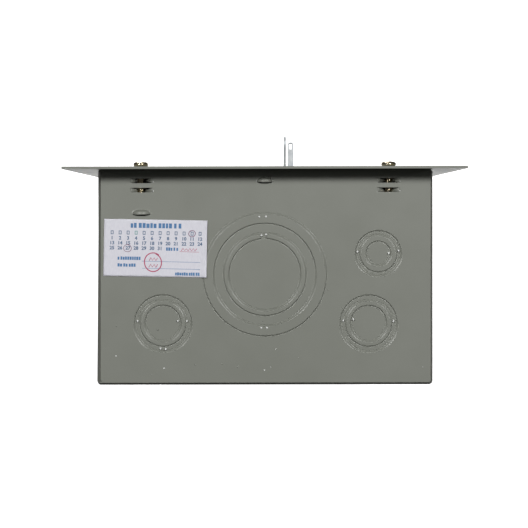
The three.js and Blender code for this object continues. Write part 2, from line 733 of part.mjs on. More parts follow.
// A moulded block, hollow behind, that holds the bus away from the pan.
function insulatingBase() {
  const back = PAN.depth + SHEET + GAP;
  const across = [-BASE.half, BASE.half];
  const lower = [BASE.low, MAIN.low - 1];
  const upper = [MAIN.low - 1, BASE.high];
  const hollows = [];
  const tall = length([BASE.low, BASE.high]) / BASE.bays;
  for (let bay = 0; bay < BASE.bays; bay += 1) {
    const z = widen([BASE.low + bay * tall, BASE.low + (bay + 1) * tall], -BASE.rib);
    const edge = BASE.half - BASE.wall;
    hollows.push(block([-edge, -BASE.rib], [back - THROUGH, BASE.hollowTo], z));
    hollows.push(block([BASE.rib, edge], [back - THROUGH, BASE.hollowTo], z));
  }
  return cut(
    join(
      block(across, [back, BUS.back - GAP], lower),
      block(across, [back, MAIN.back - GAP], upper),
      block([-1.5, 1.5], [BUS.back - 1, BUS.back + BUS.thick - 0.6], [BASE.low, BASE.low + 2.5]),
    ),
    ...hollows,
  );
}

// One phase: a flat bar beside the middle, with a stab in the middle at every other space.
function busBar(side, rows) {
  const depth = [BUS.back, BUS.back + BUS.thick];
  const span = (low, high) => [side * low, side * high].sort((a, b) => a - b);
  const bar = block(span(BUS.inner, BUS.outer), depth, [BUS.low, BUS.high]);
  const stabs = rows.flatMap((row) => {
    const z = spaceHeight(row);
    return [
      block(span(-STAB.half, BUS.inner + 1), depth, widen([z, z], STAB.foot)),
      block([-STAB.half, STAB.half], [BUS.back, STAB.front], [z - STAB.thick / 2, z + STAB.thick / 2]),
    ];
  });
  return join(bar, ...stabs);
}

// A terminal bar with cross holes for the wires and a clamping screw over each.
function terminalBar({ x, half, low, high, back, front }, screws) {
  const wireDepth = middle([back, front]) - TERMINAL.offset;
  const bores = terminalHeights({ low, high }, screws).flatMap((z) => [
    rodAcross(wireDepth, z, TERMINAL.wire, widen([x - half, x + half], THROUGH), 8),
    rodForward(x, z, TERMINAL.thread, [wireDepth, front + THROUGH], 8),
  ]);
  return cut(block([x - half, x + half], [back, front], [low, high]), ...bores);
}

function terminalHeights({ low, high }, screws) {
  const pitch = (high - low) / screws;
  return Array.from({ length: screws }, (_, at) => low + pitch * (at + 0.5));
}

function addTerminalScrews(name, bar, screws) {
  terminalHeights(bar, screws).forEach((z, at) => {
    const tip = middle([bar.back, bar.front]) + 1;
    const shape = screw({ ...TERMINAL_SCREW, x: bar.x, z, under: bar.front + GAP, tip });
    addPart(`${name}_${at + 1}`, shape, ZINC);
  });
}

// A moulded post between the back of the box and the neutral bar.
function neutralSupport(z) {
  const across = widen([NEUTRAL.x, NEUTRAL.x], SUPPORT.half);
  const up = widen([z, z], SUPPORT.high);
  const body = block(across, [SHEET + GAP, NEUTRAL.back - GAP], up);
  return cut(body, block(widen(across, -SUPPORT.wall), [SHEET, SUPPORT.hollowTo], widen(up, -SUPPORT.wall)));
}

// A flat strap from the neutral bar down to the back of the box.
function bondingStrap() {
  const { thick, overlap, foot } = STRAP;
  const front = NEUTRAL.back - GAP;
  const back = SHEET + GAP;
  const start = NEUTRAL.x - overlap;
  const drop = NEUTRAL.x + NEUTRAL.half + overlap;
  const corners = [
    [start, front],
    [drop + thick, front],
    [drop + thick, back + thick],
    [drop + foot, back + thick],
    [drop + foot, back],
    [drop, back],
    [drop, front - thick],
    [start, front - thick],
  ];
  return profileUp(corners, STRAP.z);
}

// ---- Assembly ----

addPart("enclosure_wrapper", enclosureWrapper(), PAINT);
addPart("end_wall_top", endWall(), PAINT);
addPart("end_wall_bottom", endWall(), PAINT).rotation.y = Math.PI;

addPart("trim_cover", trimCover(), PAINT);
addPart("dead_front", deadFront(), PAINT);
addPart("door", door(), PAINT);
for (const [name, z] of Object.entries(HINGE_HEIGHTS)) addPart(`hinge_pin_${name}`, hingePin(z), ZINC);
addPart("latch_slider", latchSlider(), BLACK_PLASTIC);
addPart("latch_keeper", latchKeeper(), ZINC);

for (const [sideName, side] of [["left", -1], ["right", 1]]) {
  for (const [endName, end] of [["lower", -1], ["upper", 1]]) {
    const at = { ...SCREW, x: side * SCREW.x, z: end * SCREW.z, under: TRIM.front + 0.1, sides: 16 };
    addPart(`trim_screw_${endName}_${sideName}`, screw(at), YELLOW_ZINC);
  }
}

addPart("padlock_staple", padlockStaple(), ZINC);
staple.rivets.forEach((z, at) => addPart(`staple_rivet_${at + 1}`, stapleRivet(z), ZINC));

addPart("main_breaker_case", mainBreakerCase(), BLACK_PLASTIC);
for (const [name, shape, material] of [
  ["main_toggle", mainToggle(), GREY_PLASTIC],
  ["main_lever", mainLever(), ZINC],
]) {
  const mesh = addPart(name, shape, material);
  mesh.position.set(0, -MAIN_PIVOT.depth, MAIN_PIVOT.z);
  mesh.rotation.x = THREE.MathUtils.degToRad(-TOGGLE.tilt);
}

for (const [name, side] of [["left", -1], ["right", 1]]) {
  const at = { ...LUG, x: side * LUG.x };
  addPart(`line_lug_${name}`, wireLug(at), ALUMINIUM);
  addPart(`line_lug_screw_${name}`, lugScrew(at), ZINC);
}

addPart("interior_pan", interiorPan(), ZINC);
let panScrews = 0;
for (const x of [-PAN_FOOT.x, PAN_FOOT.x]) {
  for (const z of PAN_FOOT.z) {
    panScrews += 1;
    const under = PAN.depth + SHEET + GAP;
    const at = { ...PAN_SCREW, x, z, under, tip: SHEET + GAP };
    addPart(`pan_screw_${panScrews}`, screw(at), ZINC);
  }
}
addPart("insulating_base", insulatingBase(), BASE_PLASTIC);
addPart("bus_bar_left", busBar(-1, [0, 2]), ALUMINIUM);
addPart("bus_bar_right", busBar(1, [1, 3]), ALUMINIUM);

SINGLE_BREAKERS.forEach((row) => addBranchBreaker(`${2 * row + 1}`, -1, [row]));
addBranchBreaker("2_4", 1, [DOUBLE_BREAKER_ROW, DOUBLE_BREAKER_ROW + 1]);

addPart("neutral_bar", terminalBar(NEUTRAL, NEUTRAL_SCREWS), ALUMINIUM);
addTerminalScrews("neutral_screw", NEUTRAL, NEUTRAL_SCREWS);
for (const [name, z] of Object.entries(SUPPORT.z)) {
  addPart(`neutral_support_${name}`, neutralSupport(z), BASE_PLASTIC);
}
addPart("neutral_lug", wireLug(NEUTRAL_LUG), ALUMINIUM);
addPart("neutral_lug_screw", lugScrew(NEUTRAL_LUG), ZINC);
addPart("bonding_strap", bondingStrap(), ZINC);
addPart("ground_bar", terminalBar(GROUND, GROUND_SCREWS), ALUMINIUM);
addTerminalScrews("ground_screw", GROUND, GROUND_SCREWS);

const label = addGeometry(
  "inspection_label",
  new THREE.BoxGeometry(LABEL.width, LABEL.height, LABEL.thick),
  PAPER,
);
label.position.set(LABEL.x, -LABEL.depth, HALF_HEIGHT + STEP + GAP / 2 + LABEL.thick / 2);
label.rotation.z = THREE.MathUtils.degToRad(LABEL.turn);

const card = addGeometry(
  "circuit_directory",
  new THREE.BoxGeometry(DIRECTORY.width, DIRECTORY.thick, DIRECTORY.height),
  PAPER,
);
card.position.set(DIRECTORY.x, DIRECTORY.thick - TRIM.back, middle(DOOR_UP));

export default loadCenter;
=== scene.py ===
"""Looks of the residential load center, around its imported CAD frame.

Metres, in the frame of the CAD: +Z is up the wall, -Y comes out of the front, and the origin is the
middle of the back face. The camera looks down at the upper end wall.
"""

import json
import math
import random

import bmesh
import bpy
from mathutils import Matrix, Vector


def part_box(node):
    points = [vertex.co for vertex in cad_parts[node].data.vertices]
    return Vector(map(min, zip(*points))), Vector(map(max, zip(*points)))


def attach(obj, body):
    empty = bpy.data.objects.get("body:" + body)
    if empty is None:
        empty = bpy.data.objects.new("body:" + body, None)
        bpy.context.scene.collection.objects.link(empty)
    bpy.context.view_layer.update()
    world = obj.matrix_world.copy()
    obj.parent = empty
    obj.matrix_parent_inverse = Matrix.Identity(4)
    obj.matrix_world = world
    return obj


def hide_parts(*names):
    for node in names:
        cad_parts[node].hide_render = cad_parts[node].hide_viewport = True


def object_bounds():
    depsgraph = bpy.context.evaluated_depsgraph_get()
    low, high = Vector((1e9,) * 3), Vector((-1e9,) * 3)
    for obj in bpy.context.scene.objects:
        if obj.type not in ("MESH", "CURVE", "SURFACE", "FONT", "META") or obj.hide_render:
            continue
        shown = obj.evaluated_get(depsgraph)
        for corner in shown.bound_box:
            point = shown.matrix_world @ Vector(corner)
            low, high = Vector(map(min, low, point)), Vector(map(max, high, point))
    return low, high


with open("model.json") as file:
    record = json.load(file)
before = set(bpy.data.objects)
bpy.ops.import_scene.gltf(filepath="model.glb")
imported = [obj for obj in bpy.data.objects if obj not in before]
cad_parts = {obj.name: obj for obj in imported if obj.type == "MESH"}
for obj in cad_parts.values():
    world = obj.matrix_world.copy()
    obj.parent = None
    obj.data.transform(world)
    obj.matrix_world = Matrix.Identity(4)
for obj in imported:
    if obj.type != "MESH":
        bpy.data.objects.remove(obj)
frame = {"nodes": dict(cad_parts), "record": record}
cad_low, cad_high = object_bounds()
NODES = frame["nodes"]
MM = 0.001
FLIP = Matrix.Rotation(math.pi, 4, "Y")  # turns what is drawn for the upper end into the lower end


# ---- Places, from the frame ----

wall_low, wall_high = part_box("end_wall_top")
FLANGE = 0.015
FACE = wall_low.z + FLANGE  # the flat outer face of the upper end wall
FRONT = wall_low.y  # the front edge of the enclosure
HALF_WIDTH = wall_high.x
SHEET = 1.5 * MM
CORNER = 2.4 * MM  # radius of the back corners in plan
FRONT_CORNER = 1.4 * MM
# How far the end wall's +X side lies off true at its front and back, and how far the other side does.
LEAN = {"front": -1.25 * MM, "back": 0.6 * MM, "other": 0.05 * MM}
# Widths in millimetres of the rolled strip outside the end wall's crease, at the same places.
LIP = {"front": 1.45, "back": 2.7, "other": 1.4}


# ---- Materials ----


class Surface:
    """A procedural material, with short calls for the nodes that shape it."""

    def __init__(self, name, roughness, metallic=0.0, **sockets):
        self.material = bpy.data.materials.new(name)
        self.material.use_nodes = True
        self.tree = self.material.node_tree
        self.shader = self.tree.nodes["Principled BSDF"]
        self.shader.inputs["Roughness"].default_value = roughness
        self.shader.inputs["Metallic"].default_value = metallic
        for socket, value in sockets.items():
            self.shader.inputs[socket.replace("_", " ")].default_value = value
        self.place = self.node("ShaderNodeTexCoord").outputs["Object"]

    def node(self, kind, inputs=(), **settings):
        """A new node. Each input is a value or the socket that feeds it."""
        made = self.tree.nodes.new(kind)
        for key, value in settings.items():
            setattr(made, key, value)
        for socket, value in dict(inputs).items():
            if isinstance(value, bpy.types.NodeSocket):
                self.tree.links.new(value, made.inputs[socket])
            else:
                made.inputs[socket].default_value = value
        return made

    def stretched(self, stretch):
        return self.node("ShaderNodeMapping", {"Vector": self.place, "Scale": stretch}).outputs[0]

    def noise(self, scale, detail=3.0, stretch=(1, 1, 1), distortion=0.0):
        inputs = {"Vector": self.stretched(stretch), "Scale": scale}
        inputs |= {"Detail": detail, "Distortion": distortion}
        return self.node("ShaderNodeTexNoise", inputs).outputs["Fac"]

    def specks(self, scale):
        """The distance to the nearest of many scattered points."""
        inputs = {"Vector": self.place, "Scale": scale}
        return self.node("ShaderNodeTexVoronoi", inputs).outputs["Distance"]

    def span(self, value, low, high, to_low=0.0, to_high=1.0):
        """Stretch what lies between low and high to another range."""
        inputs = {"Value": value, "From Min": low, "From Max": high}
        inputs |= {"To Min": to_low, "To Max": to_high}
        return self.node("ShaderNodeMapRange", inputs).outputs["Result"]

    def times(self, a, b):
        return self.node("ShaderNodeMath", {0: a, 1: b}, operation="MULTIPLY").outputs[0]

    def mix(self, factor, a, b):
        made = self.node("ShaderNodeMix", data_type="RGBA")
        for socket, value in ((0, factor), (6, a), (7, b)):
            if isinstance(value, bpy.types.NodeSocket):
                self.tree.links.new(value, made.inputs[socket])
            else:
                made.inputs[socket].default_value = value if socket == 0 else (*value, 1)
        return made.outputs[2]

    def edges(self, radius):
        """1 along convex edges narrower than the radius, 0 on flat faces."""
        bevel = self.node("ShaderNodeBevel", {"Radius": radius}, samples=4).outputs[0]
        normal = self.node("ShaderNodeNewGeometry").outputs["Normal"]
        dot = self.node("ShaderNodeVectorMath", {0: bevel, 1: normal}, operation="DOT_PRODUCT")
        flat, turned = 0.98, 0.8  # the product on a flat face and on an edge
        return self.span(dot.outputs["Value"], flat, turned)

    def color(self, value):
        self.link(value, "Base Color")

    def link(self, value, socket):
        self.tree.links.new(value, self.shader.inputs[socket])

    def bump(self, height, distance, strength):
        """Lay one more bump over those already there."""
        inputs = {"Height": height, "Distance": distance, "Strength": strength}
        previous = self.shader.inputs["Normal"].links
        if previous:
            inputs["Normal"] = previous[0].from_socket
        self.link(self.node("ShaderNodeBump", inputs).outputs[0], "Normal")


def painted_steel(name, light, dark, roughness):
    """Grey powder paint: orange peel, faint clouds and thin wear on the edges."""
    s = Surface(name, roughness, IOR=1.5)
    clouds = s.span(s.noise(9, 4), 0.3, 0.7)
    paint = s.mix(clouds, dark, light)
    grain = s.span(s.noise(2600, 2), 0.25, 0.75)
    paint = s.mix(s.times(grain, 0.16), paint, tuple(0.72 * c for c in dark))
    worn = s.times(s.edges(0.35 * MM), s.span(s.noise(240, 4), 0.5, 0.62))
    s.color(s.mix(s.times(worn, 0.45), paint, (0.42, 0.42, 0.4)))
    s.link(s.span(s.noise(55, 5), 0.3, 0.7, roughness - 0.03, roughness + 0.05), "Roughness")
    s.bump(s.noise(820, 2), 0.05 * MM, 0.35)
    s.bump(s.noise(140, 2), 0.12 * MM, 0.12)
    return s.material


def plated_steel(name, light, dark, roughness, streaks=(1, 1, 14), spot=None, metallic=1.0):
    """Plated steel: rolled streaks, cloudy blooms and small dark specks."""
    s = Surface(name, roughness, metallic)
    line = s.span(s.noise(260, 5, streaks), 0.3, 0.7)
    bloom = s.span(s.noise(95, 3, distortion=0.6), 0.35, 0.7)
    metal = s.mix(line, dark, light)
    if spot:
        metal = s.mix(s.times(bloom, 0.7), metal, spot)
    fleck = s.span(s.specks(900), 0.0, 0.16, 0.5, 0.0)
    s.color(s.mix(fleck, metal, tuple(0.4 * c for c in dark)))
    s.link(s.span(s.noise(70, 4), 0.3, 0.7, roughness - 0.06, roughness + 0.1), "Roughness")
    s.bump(line, 0.02 * MM, 0.25)
    return s.material


def moulded_plastic(name, light, dark, roughness):
    """Moulded plastic: fine spark-eroded grain, faint flow clouds, rubbed edges."""
    s = Surface(name, roughness, IOR=1.48)
    flow = s.span(s.noise(30, 4, (1, 1, 0.4), 0.4), 0.3, 0.7)
    body = s.mix(flow, dark, light)
    rubbed = s.times(s.edges(0.5 * MM), s.span(s.noise(130, 3), 0.35, 0.6))
    s.color(s.mix(s.times(rubbed, 0.35), body, tuple(min(1, 1.9 * c + 0.03) for c in light)))
    s.link(s.span(s.noise(900, 3), 0.3, 0.7, roughness - 0.07, roughness + 0.08), "Roughness")
    s.bump(s.noise(1500, 3), 0.03 * MM, 0.4)
    return s.material


def card(name, light, dark, roughness):
    """Printed paper: fibres, slight yellowing and a soft cockle."""
    s = Surface(name, roughness, IOR=1.45)
    fibre = s.span(s.noise(1400, 6, (1, 0.35, 1), 0.8), 0.3, 0.7)
    s.color(s.mix(fibre, dark, light))
    s.link(s.span(s.noise(400, 3), 0.3, 0.7, roughness - 0.05, roughness + 0.08), "Roughness")
    s.bump(fibre, 0.015 * MM, 0.4)
    s.bump(s.noise(60, 2), 0.15 * MM, 0.15)
    return s.material


def ink(name, light, dark):
    """Printing or pen ink, a little uneven in cover."""
    s = Surface(name, 0.5, IOR=1.45)
    s.color(s.mix(s.span(s.noise(900, 4), 0.35, 0.65), dark, light))
    s.bump(s.noise(1800, 2), 0.01 * MM, 0.3)
    return s.material


PAINT = painted_steel("painted_steel", (0.225, 0.233, 0.204), (0.208, 0.216, 0.187), 0.37)
ZINC = plated_steel(
    "bright_zinc", (0.6, 0.615, 0.62), (0.45, 0.465, 0.48), 0.4, spot=(0.5, 0.54, 0.58), metallic=0.55
)
YELLOW_ZINC = plated_steel(
    "yellow_zinc", (0.6, 0.53, 0.36), (0.33, 0.27, 0.16), 0.2, (1, 6, 1), (0.46, 0.42, 0.38)
)
ALUMINIUM = plated_steel("tinned_aluminium", (0.75, 0.76, 0.77), (0.6, 0.61, 0.62), 0.36)
BLACK_PLASTIC = moulded_plastic("black_plastic", (0.022, 0.023, 0.025), (0.015, 0.015, 0.017), 0.46)
GREY_PLASTIC = moulded_plastic("grey_plastic", (0.09, 0.094, 0.1), (0.066, 0.069, 0.075), 0.5)
BASE_PLASTIC = moulded_plastic("base_plastic", (0.062, 0.036, 0.026), (0.04, 0.024, 0.018), 0.5)
PAPER = card("paper_card", (0.71, 0.705, 0.76), (0.65, 0.645, 0.705), 0.62)
# Near white: bare chips in the paint, and a painted glint on the punch nibs at the ties and the slot
# ends.
BARE_AND_GLINT = ink("bare_metal_and_painted_glint", (0.85, 0.86, 0.84), (0.7, 0.71, 0.7))
BLUE_INK = ink("blue_ink", (0.06, 0.17, 0.36), (0.09, 0.22, 0.42))
BLACK_INK = ink("black_ink", (0.03, 0.03, 0.035), (0.06, 0.06, 0.065))
WHITE_INK = ink("white_ink", (0.7, 0.7, 0.68), (0.58, 0.58, 0.56))
SLATE_INK = ink("slate_ink", (0.06, 0.12, 0.22), (0.09, 0.16, 0.27))
VIOLET_INK = ink("violet_ink", (0.12, 0.025, 0.09), (0.2, 0.05, 0.13))
GREEN_INK = ink("green_ink", (0.1, 0.3, 0.3), (0.15, 0.35, 0.34))
RED_INK = ink("red_ink", (0.42, 0.035, 0.11), (0.5, 0.1, 0.18))
SLOTS = {
    "paint": PAINT,
    "zinc_steel": ZINC,
    "yellow_zinc": YELLOW_ZINC,
    "aluminium": ALUMINIUM,
    "black_plastic": BLACK_PLASTIC,
    "grey_plastic": GREY_PLASTIC,
    "base_plastic": BASE_PLASTIC,
    "paper": PAPER,
}


# ---- Making pieces ----


def face_outwards(bm):
    """Turn every closed shell outside out. Its normals have to be fresh for that."""
    bm.normal_update()
    bmesh.ops.recalc_face_normals(bm, faces=bm.faces)


def in_scene(name, data):
    """A new object in the scene."""
    made = bpy.data.objects.new(name, data)
    bpy.context.scene.collection.objects.link(made)
    return made


def as_object(name, bm):
    """An object in the scene, made from closed shells."""
    face_outwards(bm)
    mesh = bpy.data.meshes.new(name)
    bm.to_mesh(mesh)
    return in_scene(name, mesh)


def piece(name, bm, body, slot, *replaced, smooth=True, material=None):
    """A finished mesh object that rides on a body and may stand in for CAD nodes."""
    made = as_object(name, bm)
    bm.free()
    for polygon in made.data.polygons:
        polygon.use_smooth = smooth
    made.data.materials.append(material or SLOTS[slot])
    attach(made, body)
    if replaced:
        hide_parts(*replaced)
    return made


def soften(target, width):
    """Rounded edges and normals that keep the large faces flat."""
    bevel = target.modifiers.new("rounding", "BEVEL")
    bevel.width = width
    bevel.segments = 2
    bevel.limit_method = "ANGLE"
    bevel.angle_limit = math.radians(35)
    even(target)


def even(target):
    """Normals that lean on the large faces."""
    normals = target.modifiers.new("face_normals", "WEIGHTED_NORMAL")
    normals.weight = 90
    normals.keep_sharp = True


def ring_edges(bm, ring):
    """The edges of a closed ring of vertices, made where they're missing."""
    pairs = zip(ring, ring[1:] + ring[:1])
    return [bm.edges.get((a, b)) or bm.edges.new((a, b)) for a, b in pairs]


def bridge(bm, first, second, closed=True):
    """Quads between two rows of vertices of the same length."""
    last = len(first) if closed else len(first) - 1
    for i in range(last):
        j = (i + 1) % len(first)
        bm.faces.new((first[i], first[j], second[j], second[i]))


def skin(bm, rows, closed=True):
    """Quads between each row of vertices and the next."""
    for first, second in zip(rows, rows[1:]):
        bridge(bm, first, second, closed)


def grid_rim(grid):
    """The vertices round the outside of a grid of columns, in order."""
    start = [column[0] for column in grid]
    end = [column[-1] for column in grid]
    return start + grid[-1][1:-1] + end[::-1] + grid[0][-2:0:-1]


# ---- End walls ----


def rim_base():
    """The U of the folded rim in plan, round the back: a point, its outward normal and its lip width."""
    found = []
    fx, fy = HALF_WIDTH - FRONT_CORNER, FRONT + FRONT_CORNER
    bx, by = HALF_WIDTH - CORNER, -CORNER
    turns = [(-fx, fy, FRONT_CORNER, -90, -180, 6), (-bx, by, CORNER, 180, 90, 8)]
    turns += [(bx, by, CORNER, 90, 0, 8), (fx, fy, FRONT_CORNER, 0, -90, 6)]
    for cx, cy, radius, start, end, steps in turns:
        for i in range(steps + 1):
            a = math.radians(start + (end - start) * i / steps)
            out = Vector((math.cos(a), math.sin(a)))
            at = Vector((cx, cy)) + radius * out
            along = (at.y - FRONT) / -FRONT
            if at.x > 0:
                lip = LIP["front"] + (LIP["back"] - LIP["front"]) * along
                at.x += LEAN["front"] + (LEAN["back"] - LEAN["front"]) * along
            else:
                lip = LIP["other"]
                at.x += LEAN["other"]
            share = abs(out.x)  # the lip across the back keeps one width
            found.append((at, out, (lip * share + LIP["other"] * (1 - share)) * MM))
    return found


def rim_section(lip):
    """Insets and drops around the folded rim: the outer skin down to its edge, then the inner skin."""
    flat = lip + 0.9 * MM  # where the flat face begins
    crease = 0.8 * MM  # drop from the face to the foot of the crease
    roll = lip - 0.14 * MM
    nick = 0.25 * MM  # broken edge of the sheet
    outer = [(flat, 0), (lip + 0.3 * MM, 0), (lip + 0.14 * MM, 0.03 * MM)]
    outer += [(lip + 0.04 * MM, 0.15 * MM), (lip, 0.5 * MM), (lip - 0.05 * MM, crease)]
    for i in range(7):
        t = i / 6
        outer.append((roll * (1 - t), crease - 0.06 * MM + roll * (2.9 * t + 0.4 * t**4)))
    outer += [(0, FLANGE - nick), (nick, FLANGE)]
    inner = [(SHEET - nick, FLANGE), (SHEET, FLANGE - nick), (SHEET, 0.5 * FLANGE)]
    inner += [(SHEET + 0.2 * (flat - SHEET), 0.3 * FLANGE), (flat, SHEET)]
    return outer + inner


# One knockout: centre, radii from the outside in, the levels of the rings between them as shares of
# STEP, the ties that still hold each radius, the gaps cut in a raised ring, and the bare nibs. A tie or
# gap is its ring, direction and half width. Directions are in degrees from the side that faces the
# front, towards +X.
STEP = 0.8 * MM
KNOCKOUTS = [
    {
        "at": (0, -68),
        "radii": [37.7, 31.35, 25.2, 22],
        "levels": [1, 0, 1, 0],
        "ties": [(1, 1.5, 1.2), (0, 180, 2.5), (2, 180, 2.5)],
        "gaps": [(2, 1.6, 4.6)],
        "nibs": [(3.3, -35.3), (-0.7, -35.5), (2.2, 32.7), (-1.2, 32.7), (2.0, -24.0), (-0.7, -24.4)],
    },
    {
        "at": (62.6, -38.1),
        "radii": [17.45, 14.1, 11.1],
        "levels": [-1, 0, -1],
        "ties": [(0, 0, 4), (1, 180, 4), (2, 92, 5)],
        "gaps": [],
        "nibs": [(15.5, -1.4), (-9.2, -1.4), (-14.7, -1.4), (1.5, 15.5), (-1.6, 15.9)],
    },
    {
        "at": (-63.6, -37.8),
        "radii": [17.45, 14.1, 11.1],
        "levels": [-1, 0, -1],
        "ties": [(0, 2, 4), (1, 178, 4), (2, -92, 5)],
        "gaps": [],
        "nibs": [(15.5, -1.8), (9.4, -2.5), (-15.2, -1.4)],
    },
    {
        "at": (-69.6, -80.8),
        "radii": [13.9, 11.4, 7.5],
        "levels": [-1, 0, -1],
        "ties": [(0, -2, 5), (1, 180, 5), (2, 95, 6)],
        "gaps": [],
        "nibs": [(12.9, -1.0), (-6.3, -0.1), (-12.4, -1.6)],
    },
]
# Across one step of a knockout: the place outwards as a share of half its width, how far the level has
# changed there, and whether the punch leaves a crease there on the low side.
STEP_PROFILE = [(1.9, 0, False), (1.12, 0, False), (0.9, 0.04, True), (0.45, 0.27, True)]
STEP_PROFILE += [(0.0, 0.5, False)]
STEP_PROFILE += [(-o, 1 - t, g) for o, t, g in reversed(STEP_PROFILE[:-1])]
CREASE = 0.14 * MM
CRISP, SOFT = 0.36, 0.9  # half widths of a step on its sheared side and on its drawn side
NARROWED = 0.45  # what the half width loses where the drawn side faces straight to the front or back
PATCH_MARGIN = 2.5  # flat ring round a knockout


def ease(x):
    """0 below 0, 1 above 1, and a smooth climb between."""
    x = min(1.0, max(0.0, x))
    return x * x * (3 - 2 * x)


def apart(a, b):
    """The angle between two directions, in degrees."""
    return abs((a - b + 180) % 360 - 180)


def knockout_angles(knockout):
    """Directions around a knockout, closer together at the ends of its gaps."""
    wanted = {float(a) for a in range(0, 360, 2)}
    for _, at, half in knockout["gaps"]:
        for side in (-1, 1):
            wanted |= {round((at + side * half + step) % 360, 3) for step in (-0.5, -0.25, 0, 0.25, 0.5)}
    return sorted(wanted)


def knockout_level(knockout, ring, angle):
    """Height of one ring above the wall. Ring -1 is the wall outside."""
    if ring < 0:
        return 0.0
    level = knockout["levels"][ring] * STEP
    for gap_ring, at, half in knockout["gaps"]:
        if gap_ring == ring:
            level *= ease((apart(angle, at) - half + 0.3) / 0.6)
    return level


def step_point(knockout, step, angle):
    """How far outwards one point of a step lies, and how high above the wall."""
    ring, offset, share, creased = step
    outer = knockout_level(knockout, ring - 1, angle)
    inner = knockout_level(knockout, ring, angle)
    falls = knockout["levels"][ring] < (knockout["levels"][ring - 1] if ring else 0)
    drawn = math.cos(math.radians(angle)) * (-1 if falls else 1)
    half = CRISP + (SOFT - CRISP) * ease(drawn * 2 + 0.35)
    wide = offset * (half - NARROWED * ease(drawn * 3.2 - 2.2))
    holds = [0]
    for tied_ring, at, tie_half in knockout["ties"]:
        if tied_ring == ring:
            holds.append(1 - ease((apart(angle, at) - tie_half) / 2 + 0.5))
    hold = max(holds)
    share += hold * (ease(0.5 - wide / 1.1) - share)
    rise = outer + (inner - outer) * share
    if creased and (share > 0.5) == (inner < outer):
        rise -= CREASE * (1 - hold)
    return wide, rise


def knockout_patch(bm, knockout):
    """Concentric pressed rings on a round flat patch. Returns the patch's outer ring of vertices."""
    cx, cy = (c * MM for c in knockout["at"])
    angles = knockout_angles(knockout)
    places = [(knockout["radii"][0] + PATCH_MARGIN, None)]
    for ring, radius in enumerate(knockout["radii"]):
        places += [(radius, (ring, *point)) for point in STEP_PROFILE]
    rows = []
    for radius, step in places:
        row = []
        for angle in angles:
            wide, rise = step_point(knockout, step, angle) if step else (0, 0)
            a = math.radians(angle)
            reach = (radius + wide) * MM
            row.append(bm.verts.new((cx + reach * math.sin(a), cy - reach * math.cos(a), FACE + rise)))
        rows.append(row)
    skin(bm, rows)
    bm.faces.new(rows[-1])
    return rows[0]


# Louvres in millimetres: the middle of the lip, the length along it, the width up to it, and the rise.
LOUVRES = [
    {"at": (0, -124.45), "length": 9.5, "width": 3.1, "rise": 2.9},
    {"at": (75.6, -104.7), "length": 10.9, "width": 3.3, "rise": 2.9},
]
# Share of the way from a louvre's front edge to its lip, and share of the height reached there.
LOUVRE_CLIMB = [(0, 0), (0.03, 0.04), (0.08, 0.2), (0.14, 0.45), (0.22, 0.68), (0.34, 0.84)]
LOUVRE_CLIMB += [(0.5, 0.94), (0.68, 0.99), (0.86, 1), (0.97, 0.98), (1, 0.93)]
LOUVRE_CUT = 0.7 * MM  # opening behind the lip
LOUVRE_SILL = 0.3 * MM  # flat edge behind the cut
LOUVRE_MARGIN = 0.9 * MM  # flat strip round the whole louvre


def louvre_line(louvre, u):
    """Points from a louvre's front edge, over the lip, to behind its cut. u is -1 to 1 along the lip."""
    cx, cy = (c * MM for c in louvre["at"])
    half, width, rise = louvre["length"] * MM / 2, louvre["width"] * MM, louvre["rise"] * MM
    bulge = math.sqrt(max(0.0, 1 - u * u))
    dome = (half**2 + rise**2) / (2 * rise)  # radius of the dome along the wall
    top = rise - dome + math.sqrt(dome**2 - (u * half) ** 2)
    lip = cy - 0.5 * MM * (1 - bulge)
    reach = (0.06 + 0.94 * bulge) * width
    sill = lip + LOUVRE_CUT * (0.15 + 0.85 * bulge)
    points = [(lip - (1 - v) * reach, up * top) for v, up in LOUVRE_CLIMB]
    points += [(sill, 0), (sill + LOUVRE_SILL, 0)]
    return [(cx + u * half, y, FACE + z) for y, z in points]


def louvre_margin(bm, louvre, rim):
    """A ring of vertices on the flat face, a little outside the rim of a louvre."""
    cx, cy = (c * MM for c in louvre["at"])
    middle = cy - 0.45 * louvre["width"] * MM
    stretch = louvre["length"] / 2 / louvre["width"]
    margin = []
    for vertex in rim:
        away = Vector((vertex.co.x - cx, (vertex.co.y - middle) * stretch)).normalized() * LOUVRE_MARGIN
        margin.append(bm.verts.new((vertex.co.x + away.x, vertex.co.y + away.y, FACE)))
    return margin


def louvre_patch(bm, louvre):
    """A lanced half dome: it climbs from its front edge to a lip at the back, with the cut below it.

    Returns the outline of the margin and that of the cut where it leaves the inner face.
    """
    columns, closed = 28, 2  # the cut leaves some columns closed at each end
    grid = []
    for i in range(columns + 1):
        line = louvre_line(louvre, -math.cos(math.pi * i / columns))
        grid.append([bm.verts.new(point) for point in line])
    lip, sill = len(LOUVRE_CLIMB) - 1, len(LOUVRE_CLIMB)
    for i, (first, second) in enumerate(zip(grid, grid[1:])):
        if closed <= i < columns - closed:
            bridge(bm, first[:sill], second[:sill], closed=False)
            bridge(bm, first[sill:], second[sill:], closed=False)
        else:
            bridge(bm, first, second, closed=False)
    opened = grid[closed : columns - closed + 1]
    cut = [c[lip] for c in opened] + [c[sill] for c in reversed(opened)]
    under = [bm.verts.new((v.co.x, v.co.y, FACE - SHEET)) for v in cut]
    bridge(bm, cut, under)
    rim = grid_rim(grid)
    margin = louvre_margin(bm, louvre, rim)
    bridge(bm, rim, margin)
    return margin, under


# Slots in millimetres: half their length, how far in front of the back each starts and ends, and the
# radius of their corners.
SLOT = {"half": 6.7, "depths": [(118.4, 121.1), (124.1, 126.9)], "corner": 0.55}
# The cut side of a slot from the face inwards: millimetres outside the slot, and the drop from the face.
SLOT_SIDE = [(0.75, 0), (0.16, 0), (0.05, 0.05 * MM), (0, 0.2 * MM), (0, SHEET)]


